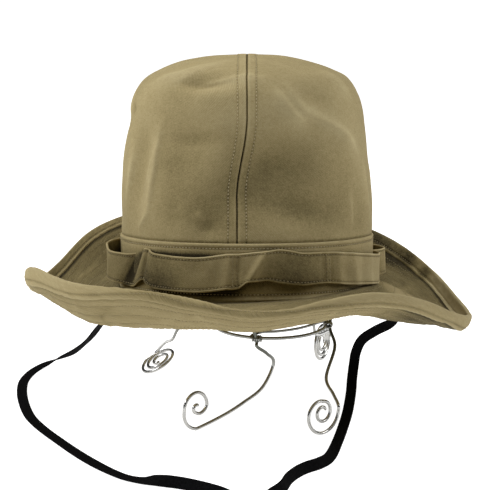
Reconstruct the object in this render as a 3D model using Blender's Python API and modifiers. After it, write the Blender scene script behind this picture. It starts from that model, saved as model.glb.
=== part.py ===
"""A soft cotton bush hat with a loop strip round its band and a flat chin strap, resting tilted back
on a plain stand of bent wire. Metres, +Z up, the front of the hat towards -Y. The origin is on the
floor, under the middle of the brim."""

import bisect
import functools
import math

import bmesh
import bpy
from mathutils import Matrix, Vector

# Sizes of the hat
CROWN_WIDTH = 0.181
CROWN_LENGTH = 0.199
CROWN_HEIGHT = 0.166
CROWN_WALL = 0.0015
DENT_DEPTH = 0.009
BAND_HEIGHT = 0.038
BAND_WALL = 0.0022
BAND_PROUD = 0.0007
STRIP_WIDTH = 0.023
STRIP_WALL = 0.0012
STRIP_RISE = 0.0215
LOOP_SLACK = 0.0105
BRIM_WIDTH = 0.073
BRIM_WALL = 0.0022
HEM_WIDTH = 0.012
HEM_WALL = 0.0032
STRAP_WIDTH = 0.0075
STRAP_THICKNESS = 0.0012
PIECE_GAP = 0.0003

# How the hat sits
HAT_RISE = 0.090
HAT_SHIFT = 0.0006
HAT_TILT = math.radians(6.7)

# Sizes of the wire stand
WIRE_DIAMETER = 0.0024
RING_RADIUS = 0.041
RING_HEIGHT = 0.060
RING_MIDDLE_X = 0.017
FOOT_REACH = 0.105
SCROLL_RADIUS = 0.0148
CAGE_RADIUS = 0.068

# How finely the faceted surfaces are divided
AROUND = 72
STRIP_AROUND = 144
HALF_CROWN_AROUND = 26
CROWN_ROWS = 14
BAND_ROWS = 2
BRIM_ROWS = 5
HEM_ROWS = 2
PROFILE_STEPS = 400
RING_SIDES = 32
WIRE_SIDES = 8
SHARP_ANGLE = math.radians(45)

# The squareness of the head opening: 2 is an ellipse
PLAN_POWER = 2.2

# The crown from its foot to its top: height and radius, as shares of the crown's height and half width
CROWN_PROFILE = (
    # height, radius
    (0.000, 1.000),
    (0.220, 1.000),
    (0.330, 0.995),
    (0.470, 0.972),
    (0.570, 0.955),
    (0.675, 0.937),
    (0.770, 0.918),
    (0.840, 0.880),
    (0.895, 0.806),
    (0.935, 0.680),
    (0.964, 0.540),
    (0.985, 0.360),
    (0.996, 0.180),
    (1.000, 0.000),
)

# Dents of the crown: place and spread round it in degrees, place and spread up its profile as shares of
# the profile, and depth as a share of the dent depth. A negative depth is a ridge.
CROWN_DENTS = (
    # azimuth, spread, profile, profile_spread, depth
    (-75.0, 14.0, 0.373, 0.100, 1.00),
    (-53.0, 8.0, 0.276, 0.060, 0.45),
    (-60.0, 8.0, 0.526, 0.030, 0.50),
    (-43.0, 6.0, 0.460, 0.040, -0.30),
    (-110.0, 10.0, 0.645, 0.022, 0.70),
    (-120.0, 15.0, 0.470, 0.040, 0.35),
    (-144.0, 4.5, 0.350, 0.100, 0.40),
    (-156.0, 5.0, 0.380, 0.080, -0.20),
    (-178.0, 10.0, 0.540, 0.030, 0.35),
    (-37.0, 5.0, 0.250, 0.060, 0.30),
    (20.0, 14.0, 0.340, 0.120, 0.50),
    (72.0, 16.0, 0.400, 0.100, 0.60),
    (128.0, 13.0, 0.320, 0.110, 0.55),
    (100.0, 20.0, 0.620, 0.040, 0.50),
)

# The dents begin above the crown's foot and end below its top, at these shares of the profile.
DENTS_ABOVE, DENTS_BELOW = 0.16, 0.90

# How far the front seam strays to the wearer's right, down the profile
SEAM_SWAY = math.radians(3.8)
SWAY_FROM, SWAY_TO = 0.54, 0.30

# The loop strip: where each loop starts (its tack), how far it stands out as a share of the slack,
# where along the loop it stands out most, and how far it sags as a share of the strip's width
STRIP_LOOPS = (
    # azimuth, stand_out, peak, sag
    (-94.0, 0.14, 0.50, 0.03),
    (-53.0, 0.30, 0.66, 0.03),
    (8.0, 1.30, 0.30, -0.05),
    (40.0, 0.32, 0.50, 0.10),
    (86.0, 0.30, 0.50, 0.08),
    (130.0, 0.28, 0.50, 0.10),
    (170.0, 0.86, 0.55, 0.02),
    (220.0, 0.16, 0.50, 0.12),
)

# How sharply each loop leaves its tacks: 1 is a plain half wave
LOOP_SHARPNESS = 1.3

# The brim's run from the crown to its edge, by azimuth, as shares of the brim's width
BRIM_STATIONS = (
    # azimuth, middle_reach, middle_rise, hem_reach, hem_rise, edge_reach, edge_rise
    (0.0, 0.45, -0.16, 0.84, -0.35, 0.97, -0.26),
    (14.0, 0.45, -0.12, 0.84, -0.285, 0.96, -0.18),
    (27.0, 0.45, -0.04, 0.82, -0.09, 0.94, 0.00),
    (39.0, 0.44, 0.04, 0.77, 0.11, 0.88, 0.22),
    (52.0, 0.42, 0.12, 0.71, 0.29, 0.82, 0.41),
    (68.0, 0.40, 0.16, 0.67, 0.40, 0.77, 0.51),
    (90.0, 0.40, 0.18, 0.66, 0.43, 0.76, 0.54),
    (112.0, 0.40, 0.19, 0.67, 0.47, 0.77, 0.58),
    (128.0, 0.42, 0.18, 0.71, 0.48, 0.81, 0.57),
    (142.0, 0.44, 0.11, 0.75, 0.33, 0.85, 0.42),
    (156.0, 0.45, -0.02, 0.80, 0.05, 0.91, 0.125),
    (170.0, 0.46, -0.11, 0.84, -0.12, 0.94, 0.00),
    (184.0, 0.48, -0.15, 0.88, 0.00, 0.95, 0.16),
    (204.0, 0.48, -0.18, 0.86, 0.10, 0.90, 0.26),
    (224.0, 0.48, -0.20, 0.80, 0.05, 0.84, 0.215),
    (245.0, 0.47, -0.18, 0.80, 0.11, 0.81, 0.185),
    (258.0, 0.47, -0.165, 0.80, 0.05, 0.82, 0.12),
    (270.0, 0.48, -0.18, 0.82, -0.02, 0.83, 0.03),
    (279.0, 0.47, -0.15, 0.82, -0.01, 0.83, 0.045),
    (288.0, 0.44, -0.115, 0.80, 0.03, 0.83, 0.115),
    (301.0, 0.42, -0.065, 0.78, 0.04, 0.84, 0.145),
    (314.0, 0.44, -0.135, 0.80, -0.05, 0.87, 0.05),
    (328.0, 0.46, -0.22, 0.82, -0.20, 0.92, -0.12),
    (344.0, 0.45, -0.20, 0.84, -0.35, 0.96, -0.25),
)

# The chin strap from the left side of the hat to the right one: x, y, z, and where its flat side faces
STRAP_ROUTE = (
    # x, y, z, face_azimuth, face_elevation
    (-0.0965, 0.0000, 0.0850, 180.0, 0.0),
    (-0.0965, 0.0000, 0.0780, 175.0, 2.0),
    (-0.0980, 0.0060, 0.0705, 155.0, 12.0),
    (-0.1035, 0.0235, 0.0600, 130.0, 30.0),
    (-0.1129, 0.0500, 0.0454, 120.0, 40.0),
    (-0.1228, 0.0680, 0.0300, 120.0, 42.0),
    (-0.1322, 0.0822, 0.0188, 120.0, 45.0),
    (-0.1405, 0.0905, 0.0112, 110.0, 55.0),
    (-0.1500, 0.0938, 0.0062, 100.0, 70.0),
    (-0.1590, 0.0918, 0.0030, 90.0, 85.0),
    (-0.1660, 0.0835, 0.0014, 90.0, 90.0),
    (-0.1706, 0.0690, 0.0010, 90.0, 90.0),
    (-0.1725, 0.0485, 0.0010, 90.0, 90.0),
    (-0.1706, 0.0255, 0.0010, 90.0, 90.0),
    (-0.1662, 0.0009, 0.0010, 90.0, 90.0),
    (-0.1595, -0.0249, 0.0010, 90.0, 90.0),
    (-0.1523, -0.0452, 0.0010, 90.0, 90.0),
    (-0.1406, -0.0690, 0.0010, 90.0, 90.0),
    (-0.1257, -0.0938, 0.0010, -90.0, 90.0),
    (-0.1109, -0.1174, 0.0012, -90.0, 85.0),
    (-0.0992, -0.1344, 0.0012, -90.0, 85.0),
    (-0.0889, -0.1473, 0.0010, -90.0, 90.0),
    (-0.0776, -0.1589, 0.0010, -90.0, 90.0),
    (-0.0670, -0.1655, 0.0016, -90.0, 80.0),
    (-0.0579, -0.1699, 0.0034, -95.0, 50.0),
    (-0.0469, -0.1742, 0.0040, -105.0, 20.0),
    (-0.0355, -0.1794, 0.0040, -110.0, 20.0),
    (-0.0191, -0.1881, 0.0034, -105.0, 45.0),
    (-0.0043, -0.1940, 0.0012, -90.0, 85.0),
    (0.0085, -0.1945, 0.0012, -85.0, 85.0),
    (0.0172, -0.1900, 0.0034, -75.0, 50.0),
    (0.0222, -0.1825, 0.0040, -60.0, 25.0),
    (0.0265, -0.1680, 0.0040, -50.0, 25.0),
    (0.0325, -0.1562, 0.0040, -50.0, 25.0),
    (0.0389, -0.1481, 0.0040, -60.0, 25.0),
    (0.0473, -0.1405, 0.0040, -65.0, 30.0),
    (0.0545, -0.1260, 0.0030, -60.0, 55.0),
    (0.0611, -0.0943, 0.0012, -70.0, 85.0),
    (0.0680, -0.0561, 0.0010, -90.0, 90.0),
    (0.0734, -0.0226, 0.0010, -90.0, 90.0),
    (0.0783, 0.0180, 0.0014, -90.0, 88.0),
    (0.0804, 0.0370, 0.0066, -90.0, 50.0),
    (0.0824, 0.0450, 0.0170, -90.0, 15.0),
    (0.0838, 0.0460, 0.0250, -88.0, 5.0),
    (0.0879, 0.0420, 0.0357, -85.0, 10.0),
    (0.0971, 0.0350, 0.0447, -85.0, 10.0),
    (0.1075, 0.0265, 0.0530, -80.0, 5.0),
    (0.1105, 0.0180, 0.0610, -60.0, 0.0),
    (0.1040, 0.0070, 0.0700, -25.0, 0.0),
    (0.0970, 0.0003, 0.0780, -5.0, 3.0),
    (0.0965, 0.0000, 0.0850, 0.0, 0.0),
)
STRAP_POINTS = 80
STRAP_STEP = 0.002

# The stand's four legs. Each starts outside the ring and ends in a scroll that stands on the floor.
# Azimuths are about the ring's middle, and reaches are shares of the foot reach. The scroll starts
# where the leg comes in to it, turned by the start from its heading.
LEGS = {
    # ring_azimuth, foot_azimuth, foot_reach, scroll_heading, scroll_lean, scroll_start
    "front": (-104.0, -127.7, 0.79, 43.0, 0.0, -46.0),
    "right": (-4.0, -62.4, 0.78, 40.0, 0.0, 20.0),
    "left": (158.0, 137.5, 1.12, 115.0, 50.0, -24.0),
    "back": (76.0, 68.2, 1.13, 78.0, 0.0, 20.0),
}

# The bends of each leg between the ring and its scroll: azimuth, share of the foot reach, and share of
# the ring's height
LEG_BENDS = {
    # azimuth, reach, height
    "front": (
        (-103.0, 0.42, 0.91),
        (-95.0, 0.32, 0.78),
        (-84.0, 0.20, 0.60),
        (-102.0, 0.27, 0.33),
        (-117.0, 0.42, 0.19),
        (-123.0, 0.57, 0.08),
    ),
    "right": (
        (-23.0, 0.48, 0.80),
        (-45.0, 0.53, 0.51),
        (-50.0, 0.65, 0.37),
    ),
    "left": (
        (151.0, 0.62, 0.90),
        (146.9, 0.785, 0.738),
        (141.3, 0.913, 0.525),
        (136.8, 1.058, 0.408),
        (134.3, 1.172, 0.285),
        (134.7, 1.220, 0.190),
    ),
    "back": (
        (68.0, 0.60, 0.90),
        (66.0, 0.80, 0.72),
        (67.0, 0.93, 0.45),
    ),
}

# The wires above the ring, up inside the crown: reach as a share of the cage radius, and height as a
# share of the way from the ring to the top
CAGE_BENDS = (
    # reach, height
    (0.80, 0.13),
    (0.95, 0.27),
    (1.00, 0.45),
    (0.97, 0.66),
    (0.84, 0.84),
    (0.55, 0.950),
    (0.25, 0.982),
)

SCROLL_END = -450.0
SCROLL_STEP = 22.0
SCROLL_INNER = 0.36
LEG_STEP = 0.011
CAGE_STEP = 0.016

KHAKI = (0.235, 0.205, 0.112)
BLACK = (0.006, 0.006, 0.007)
SILVER = (0.62, 0.61, 0.59)


def clear_scene():
    for obj in list(bpy.data.objects):
        bpy.data.objects.remove(obj, do_unlink=True)


def material(name, colour, roughness, metallic=0.0):
    made = bpy.data.materials.new(name)
    made.use_nodes = True
    shader = made.node_tree.nodes["Principled BSDF"]
    shader.inputs["Base Color"].default_value = (*colour, 1.0)
    shader.inputs["Roughness"].default_value = roughness
    shader.inputs["Metallic"].default_value = metallic
    return made


def smooth_step(low, high, value):
    share = min(1.0, max(0.0, (value - low) / (high - low)))
    return share * share * (3.0 - 2.0 * share)


def hermite(before, start, end, after, share):
    """A smooth curve through start and end, each a (place, value) pair, at this share between them."""
    span = end[0] - start[0]
    slope_in = (end[1] - before[1]) / (end[0] - before[0]) * span
    slope_out = (after[1] - start[1]) / (after[0] - start[0]) * span
    s2, s3 = share * share, share * share * share
    return (
        (2 * s3 - 3 * s2 + 1) * start[1]
        + (s3 - 2 * s2 + share) * slope_in
        + (3 * s2 - 2 * s3) * end[1]
        + (s3 - s2) * slope_out
    )


def round_table(rows, column, azimuth):
    """A column of a table whose first column is an azimuth in degrees, read smoothly all the way round."""
    turned = azimuth % 360.0
    places = [row[0] for row in rows]
    after = next((i for i, place in enumerate(places) if place > turned), len(rows))
    knots = []
    for index in range(after - 2, after + 2):
        turn, row = divmod(index, len(rows))
        knots.append((rows[row][0] + 360.0 * turn, rows[row][column]))
    share = (turned - knots[1][0]) / (knots[2][0] - knots[1][0])
    return hermite(*knots, share)


def smooth_points(points, step):
    """Points read from a smooth curve through the given ones, about one step apart."""
    padded = [2 * points[0] - points[1], *points, 2 * points[-1] - points[-2]]
    found = []
    for a, b, c, d in zip(padded, padded[1:], padded[2:], padded[3:]):
        count = max(1, round((c - b).length / step))
        for i in range(count):
            t = i / count
            found.append(
                0.5
                * (
                    2 * b
                    + (c - a) * t
                    + (2 * a - 5 * b + 4 * c - d) * t * t
                    + (3 * b - a - 3 * c + d) * t * t * t
                )
            )
    found.append(points[-1].copy())
    return found


def evenly(points, facings, count):
    """The same line with this many points, evenly spaced, and the facing at each."""
    lengths = [0.0]
    for a, b in zip(points, points[1:]):
        lengths.append(lengths[-1] + (b - a).length)
    found, faces, k = [], [], 0
    for i in range(count):
        want = lengths[-1] * i / (count - 1)
        while k < len(points) - 2 and lengths[k + 1] < want:
            k += 1
        share = (want - lengths[k]) / (lengths[k + 1] - lengths[k])
        found.append(points[k].lerp(points[k + 1], share))
        faces.append(facings[k].lerp(facings[k + 1], share))
    return found, faces


def plan_radius(azimuth):
    """The crown's outer radius at its foot."""
    across = abs(math.cos(azimuth) / (CROWN_WIDTH / 2)) ** PLAN_POWER
    along = abs(math.sin(azimuth) / (CROWN_LENGTH / 2)) ** PLAN_POWER
    return (across + along) ** (-1.0 / PLAN_POWER)


def profile_at(share):
    """Height and radius shares of the crown at a share of its profile, counted by rows of the table."""
    last = len(CROWN_PROFILE) - 1
    place = min(max(share, 0.0), 1.0) * last
    index = min(int(place), last - 1)
    rows = CROWN_PROFILE
    # Past the top the profile runs down the other side, and below the foot it runs straight on.
    below = rows[index - 1] if index else (2 * rows[0][0] - rows[1][0], rows[0][1])
    above = rows[index + 2] if index + 2 <= last else (rows[last - 1][0], -rows[last - 1][1])
    knots = (below, rows[index], rows[index + 1], above)
    height, radius = (
        hermite(*[(i - 1, knot[column]) for i, knot in enumerate(knots)], place - index)
        for column in (0, 1)
    )
    return height, radius


def profile_lengths():
    """How far along the profile each of its small steps lies, as a share of the whole."""
    points = [profile_at(i / PROFILE_STEPS) for i in range(PROFILE_STEPS + 1)]
    lengths = [0.0]
    for (h1, r1), (h2, r2) in zip(points, points[1:]):
        rise, run = (h2 - h1) * CROWN_HEIGHT, (r2 - r1) * CROWN_WIDTH / 2
        lengths.append(lengths[-1] + math.hypot(rise, run))
    return [length / lengths[-1] for length in lengths]


LENGTHS = profile_lengths()


def place_along(share):
    """The table's own parameter at this share of the profile's length."""
    index = min(bisect.bisect_left(LENGTHS, share), PROFILE_STEPS)
    if index == 0:
        return 0.0
    part = (share - LENGTHS[index - 1]) / (LENGTHS[index] - LENGTHS[index - 1])
    return (index - 1 + part) / PROFILE_STEPS


def dent_at(azimuth, share):
    """How far the cloth is pushed in here."""
    degrees = math.degrees(azimuth)
    depth = 0.0
    for middle, spread, height, height_spread, amount in CROWN_DENTS:
        turn = (degrees - middle + 180.0) % 360.0 - 180.0
        away = (turn / spread) ** 2 + ((share - height) / height_spread) ** 2
        depth += amount * math.exp(-away / 2)
    return DENT_DEPTH * depth * smooth_step(0.0, DENTS_ABOVE, share) * smooth_step(1.0, DENTS_BELOW, share)


def smooth_crown(azimuth, share):
    height, radius = profile_at(place_along(share))
    reach = plan_radius(azimuth) * radius
    return Vector((reach * math.cos(azimuth), reach * math.sin(azimuth), height * CROWN_HEIGHT))


def normal_of(surface, a, b, step=0.002):
    """The outward normal of a surface whose first parameter runs anticlockwise and second one up or out."""
    along = surface(a + step, b) - surface(a - step, b)
    across = surface(a, b + step) - surface(a, b - step)
    return along.cross(across).normalized()


def crown_surface(azimuth, share):
    """The crown's outer face, from its foot at share 0 to its top at share 1."""
    front = max(0.0, -math.sin(azimuth)) ** 2
    swayed = azimuth - SEAM_SWAY * front * smooth_step(SWAY_FROM, SWAY_TO, share)
    if share >= 1.0:
        return smooth_crown(swayed, 1.0)
    outward = normal_of(smooth_crown, swayed, min(share, 0.99))
    return smooth_crown(swayed, share) - outward * dent_at(swayed, share)


@functools.lru_cache(maxsize=None)
def share_at_height(height):
    """The share of the profile's length that lies below this height of the crown."""
    low, high = 0.0, 1.0
    for _ in range(40):
        middle = (low + high) / 2
        if profile_at(place_along(middle))[0] * CROWN_HEIGHT < height:
            low = middle
        else:
            high = middle
    return low


def outward_at(azimuth):
    return Vector((math.cos(azimuth), math.sin(azimuth), 0.0))


def band_surface(azimuth, height):
    """The band's outer face, a little proud of the crown's. It runs straight down below the crown's foot."""
    face = crown_surface(azimuth, share_at_height(max(0.0, height)))
    return face + outward_at(azimuth) * BAND_PROUD + Vector((0.0, 0.0, min(0.0, height)))


def loop_at(azimuth):
    """How far the strip stands out from the band at this azimuth in degrees, and how far it sags."""
    starts = [row[0] for row in STRIP_LOOPS]
    turned = (azimuth - starts[0]) % 360.0 + starts[0]
    index = max(i for i, start in enumerate(starts) if start <= turned)
    end = starts[index + 1] if index + 1 < len(starts) else starts[0] + 360.0
    along = (turned - starts[index]) / (end - starts[index])
    _, stand_out, peak, sag = STRIP_LOOPS[index]
    bulge = math.sin(math.pi * along ** (math.log(0.5) / math.log(peak)))
    reach = LOOP_SLACK * stand_out * max(0.0, bulge) ** LOOP_SHARPNESS
    return reach, STRIP_WIDTH * sag * math.sin(math.pi * along)


def strip_surface(azimuth, up):
    """The loop strip's outer face, from its lower edge at 0 to its upper edge at 1."""
    stand_out, sag = loop_at(math.degrees(azimuth))
    height = STRIP_RISE - sag + STRIP_WIDTH * (up - 0.5)
    return band_surface(azimuth, height) + outward_at(azimuth) * (PIECE_GAP + STRIP_WALL + stand_out)


def brim_section(azimuth):
    """The brim's run at this azimuth in degrees: reach beyond the crown's wall, and rise."""
    read = [round_table(BRIM_STATIONS, column, azimuth) * BRIM_WIDTH for column in range(1, 7)]
    # Where the brim droops, its lower corner leans in, so its upper one starts further out.
    lean = BRIM_WALL * max(0.0, -read[1] / read[0])
    return [(BAND_PROUD + PIECE_GAP + lean, 0.0), read[0:2], read[2:4], read[4:6]]


def brim_surface(azimuth, share):
    """The brim's upper face, from the band's foot at 0 to its edge at 1."""
    knots = brim_section(math.degrees(azimuth))
    hem = 1.0 - HEM_WIDTH / BRIM_WIDTH
    places = (0.0, hem * 0.5, hem, 1.0)
    index = 2 if share > hem else 1 if share > hem * 0.5 else 0
    part = (share - places[index]) / (places[index + 1] - places[index])
    run = []
    for axis in (0, 1):
        line = [(place, knot[axis]) for place, knot in zip(places, knots)]
        # The brim leaves the band level.
        first = (-places[1], 2 * line[0][1] - line[1][1] if axis == 0 else line[1][1])
        last = (2 - hem, 2 * line[3][1] - line[2][1])
        line = [first, *line, last]
        run.append(hermite(*line[index : index + 4], part))
    reach = plan_radius(azimuth) + run[0]
    return Vector((reach * math.cos(azimuth), reach * math.sin(azimuth), run[1]))


def hem_surface(azimuth, share):
    """The hem's upper face, a little proud of the brim's, from its inner edge at 0 to its edge at 1."""
    hem = HEM_WIDTH / BRIM_WIDTH
    start = 1.0 - hem + PIECE_GAP / BRIM_WIDTH
    place = start + (1.0 - start) * share
    proud = (HEM_WALL - BRIM_WALL) / 2
    # The brim's second parameter runs outwards, so this normal points down.
    return brim_surface(azimuth, place) - normal_of(brim_surface, azimuth, place) * proud


def hat_matrix():
    return Matrix.Translation((0.0, HAT_SHIFT, HAT_RISE)) @ Matrix.Rotation(-HAT_TILT, 4, "X")


def add_object(name, data, collection, look, parent=None):
    obj = bpy.data.objects.new(name, data)
    data.materials.append(look)
    collection.objects.link(obj)
    obj.parent = parent
    return obj


def mesh_of(name, rows, ring=False, pole=None):
    """An open sheet through rows of points, closed into a ring or not, and to a pole if there is one."""
    shape = bmesh.new()
    grid = [[shape.verts.new(point) for point in row] for row in rows]
    count = len(rows[0])
    for lower, upper in zip(grid, grid[1:]):
        for i in range(count if ring else count - 1):
            j = (i + 1) % count
            shape.faces.new((lower[i], lower[j], upper[j], upper[i]))
    if pole is not None:
        top = shape.verts.new(pole)
        for a, b in zip(grid[-1], grid[-1][1:]):
            shape.faces.new((a, b, top))
    mesh = bpy.data.meshes.new(name)
    shape.to_mesh(mesh)
    shape.free()
    mesh.shade_smooth()
    return mesh


def add_sheet(name, rows, wall, collection, look, parent, ring=False, pole=None):
    """A sheet of cloth: its outer face, thickened inwards."""
    obj = add_object(name, mesh_of(name, rows, ring, pole), collection, look, parent)
    obj.data.set_sharp_from_angle(angle=SHARP_ANGLE)
    thick = obj.modifiers.new("Thickness", "SOLIDIFY")
    thick.thickness = wall
    thick.offset = -1.0
    thick.use_even_offset = True
    return obj


def ring_rows(surface, around, low, high, rows):
    turns = [2 * math.pi * i / around for i in range(around)]
    return [
        [surface(turn, low + (high - low) * row / rows) for turn in turns] for row in range(rows + 1)
    ]


def add_crown_half(name, side, collection, look, hat):
    """One panel of the crown, from the front seam over its side to the back seam."""
    start = share_at_height(BAND_HEIGHT + PIECE_GAP)
    turns = [
        math.radians(-90.0 + 180.0 * i / HALF_CROWN_AROUND) + (math.pi if side < 0 else 0.0)
        for i in range(HALF_CROWN_AROUND + 1)
    ]
    rows = [
        [crown_surface(turn, start + (1.0 - start) * row / CROWN_ROWS) for turn in turns]
        for row in range(CROWN_ROWS)
    ]
    pole = Vector((0.0, 0.0, CROWN_HEIGHT))
    half = add_sheet(name, rows, CROWN_WALL, collection, look, hat, pole=pole)
    half.location.x = side * PIECE_GAP
    return half


def add_hat(collection, cloth, hat):
    add_crown_half("crown_right", 1, collection, cloth, hat)
    add_crown_half("crown_left", -1, collection, cloth, hat)
    band = ring_rows(band_surface, AROUND, -BRIM_WALL, BAND_HEIGHT, BAND_ROWS)
    add_sheet("crown_band", band, BAND_WALL, collection, cloth, hat, ring=True)
    strip = ring_rows(strip_surface, STRIP_AROUND, 0.0, 1.0, 1)
    add_sheet("loop_strip", strip, STRIP_WALL, collection, cloth, hat, ring=True)
    hem = 1.0 - HEM_WIDTH / BRIM_WIDTH
    brim = ring_rows(brim_surface, AROUND, hem, 0.0, BRIM_ROWS)
    add_sheet("brim", brim, BRIM_WALL, collection, cloth, hat, ring=True)
    edge = ring_rows(hem_surface, AROUND, 1.0, 0.0, HEM_ROWS)
    add_sheet("brim_hem", edge, HEM_WALL, collection, cloth, hat, ring=True)


def towards(azimuth, elevation):
    """The direction at this azimuth and elevation in degrees."""
    turn, lift = math.radians(azimuth), math.radians(elevation)
    return Vector((math.cos(lift) * math.cos(turn), math.cos(lift) * math.sin(turn), math.sin(lift)))


def strap_sections():
    """The strap's cross-sections, each with four corners, from one side of the hat to the other."""
    places = smooth_points([Vector(row[:3]) for row in STRAP_ROUTE], STRAP_STEP)
    # The facings are read at the same steps as the places.
    counts = [
        max(1, round((Vector(b[:3]) - Vector(a[:3])).length / STRAP_STEP))
        for a, b in zip(STRAP_ROUTE, STRAP_ROUTE[1:])
    ]
    facings = []
    for row, after, count in zip(STRAP_ROUTE, STRAP_ROUTE[1:], counts):
        facings += [towards(*row[3:]).lerp(towards(*after[3:]), i / count) for i in range(count)]
    facings.append(towards(*STRAP_ROUTE[-1][3:]))
    middles, faces = evenly(places, facings, STRAP_POINTS)
    sections = []
    for i, (middle, face) in enumerate(zip(middles, faces)):
        forward = middles[min(i + 1, STRAP_POINTS - 1)] - middles[max(i - 1, 0)]
        across = forward.cross(face).normalized() * STRAP_WIDTH / 2
        thick = across.cross(forward).normalized() * STRAP_THICKNESS / 2
        corners = (across + thick, thick - across, -across - thick, across - thick)
        sections.append([middle + corner for corner in corners])
    return sections


def add_strap(collection, look):
    """The chin strap, a flat ribbon that turns a little as it lies."""
    sections = strap_sections()
    mesh = mesh_of("chin_strap", sections, ring=True)
    shape = bmesh.new()
    shape.from_mesh(mesh)
    shape.verts.ensure_lookup_table()
    bmesh.ops.contextual_create(shape, geom=list(shape.verts[:4]))
    bmesh.ops.contextual_create(shape, geom=list(shape.verts[-4:]))
    bmesh.ops.recalc_face_normals(shape, faces=list(shape.faces))
    shape.to_mesh(mesh)
    shape.free()
    mesh.set_sharp_from_angle(angle=SHARP_ANGLE)
    add_object("chin_strap", mesh, collection, look)


def about_ring(azimuth, reach, height):
    turn = math.radians(azimuth)
    return Vector((RING_MIDDLE_X + reach * math.cos(turn), reach * math.sin(turn), height))


def scroll_points(leg):
    """The scroll at a leg's foot, from where the leg comes in to its inner end."""
    _, azimuth, reach, heading, lean, turn = LEGS[leg]
    foot = about_ring(azimuth, FOOT_REACH * reach, 0.0)
    ahead = Vector((math.cos(math.radians(heading)), math.sin(math.radians(heading)), 0.0))
    aside = Vector((ahead.y, -ahead.x, 0.0))
    upright = Vector((0, 0, 1)) * math.cos(math.radians(lean)) + aside * math.sin(math.radians(lean))
    middle = foot + Vector((0, 0, WIRE_DIAMETER / 2 + SCROLL_RADIUS * math.cos(math.radians(lean))))
    points = []
    while turn >= SCROLL_END:
        inward = max(0.0, (-90.0 - turn) / (-90.0 - SCROLL_END))
        radius = SCROLL_RADIUS * (1.0 - (1.0 - SCROLL_INNER) * inward)
        angle = math.radians(turn)
        points.append(middle + (ahead * math.cos(angle) + upright * math.sin(angle)) * radius)
        turn -= SCROLL_STEP
    return points


def leg_points(leg):
    """A leg from its scroll's inner end up to the ring."""
    ring_azimuth = LEGS[leg][0]
    wire = RING_RADIUS + WIRE_DIAMETER + PIECE_GAP
    bends = [about_ring(a, FOOT_REACH * r, RING_HEIGHT * h) for a, r, h in LEG_BENDS[leg]]
    scroll = scroll_points(leg)
    run = smooth_points([about_ring(ring_azimuth, wire, RING_HEIGHT), *bends, *scroll[:2]], LEG_STEP)
    return [*reversed(scroll[2:]), *reversed(run)]


def cage_points(leg, top):
    """A wire from the ring up inside the crown to just short of the top."""
    wire = RING_RADIUS + WIRE_DIAMETER + PIECE_GAP
    points = [about_ring(LEGS[leg][0], wire, RING_HEIGHT)]
    for reach, height in CAGE_BENDS:
        middle = Vector((RING_MIDDLE_X, 0.0, 0.0)).lerp(Vector((top.x, top.y, 0.0)), min(1.0, height * 2))
        out = outward_at(math.radians(LEGS[leg][0])) * CAGE_RADIUS * reach
        up = RING_HEIGHT + (top.z - RING_HEIGHT) * height
        points.append(middle + out + Vector((0, 0, up)))
    return points


def add_wire(name, points, collection, look):
    curve = bpy.data.curves.new(name, "CURVE")
    curve.dimensions = "3D"
    curve.bevel_depth = WIRE_DIAMETER / 2
    curve.bevel_resolution = WIRE_SIDES // 2 - 2
    curve.use_fill_caps = True
    spline = curve.splines.new("POLY")
    spline.points.add(len(points) - 1)
    for place, point in zip(spline.points, points):
        place.co = (*point, 1.0)
        place.radius = 1.0
    return add_object(name, curve, collection, look)


def add_stand(collection, look):
    crown_top = hat_matrix() @ Vector((0.0, 0.0, CROWN_HEIGHT))
    drop = (CROWN_WALL / math.cos(HAT_TILT)) + PIECE_GAP + WIRE_DIAMETER / 2
    upper = crown_top - Vector((0.0, 0.0, drop))
    lower = upper - Vector((0.0, 0.0, WIRE_DIAMETER + PIECE_GAP))
    for name, first, second, top in (
        ("stand_wire_front", "front", "back", upper),
        ("stand_wire_side", "right", "left", lower),
    ):
        rise = smooth_points([*cage_points(first, top), top], CAGE_STEP)
        fall = smooth_points([top, *reversed(cage_points(second, top))], CAGE_STEP)
        points = [*leg_points(first)[:-1], *rise[:-1], *fall[:-1], *reversed(leg_points(second))]
        add_wire(name, points, collection, look)
    bpy.ops.mesh.primitive_torus_add(
        major_segments=RING_SIDES,
        minor_segments=WIRE_SIDES,
        major_radius=RING_RADIUS,
        minor_radius=WIRE_DIAMETER / 2,
        location=(RING_MIDDLE_X, 0.0, RING_HEIGHT),
    )
    ring = bpy.context.object
    ring.name = "stand_ring"
    ring.data.materials.append(look)
    ring.data.shade_smooth()
    for held in list(ring.users_collection):
        held.objects.unlink(ring)
    collection.objects.link(ring)


def main():
    clear_scene()
    collection = bpy.data.collections.new("bush_hat")
    bpy.context.scene.collection.children.link(collection)
    cloth = material("khaki_cotton", KHAKI, 0.9)
    tape = material("black_tape", BLACK, 0.85)
    wire = material("silver_wire", SILVER, 0.3, 1.0)
    hat = bpy.data.objects.new("hat", None)
    hat.matrix_world = hat_matrix()
    collection.objects.link(hat)
    add_hat(collection, cloth, hat)
    add_strap(collection, tape)
    add_stand(collection, wire)


main()
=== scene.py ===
"""The looks of a soft cotton bush hat on its wire stand: panels, band, loops and brim as fine cloth
sheets with their folds and stitching, a woven chin strap, and smooth bent wires."""

import math

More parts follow.
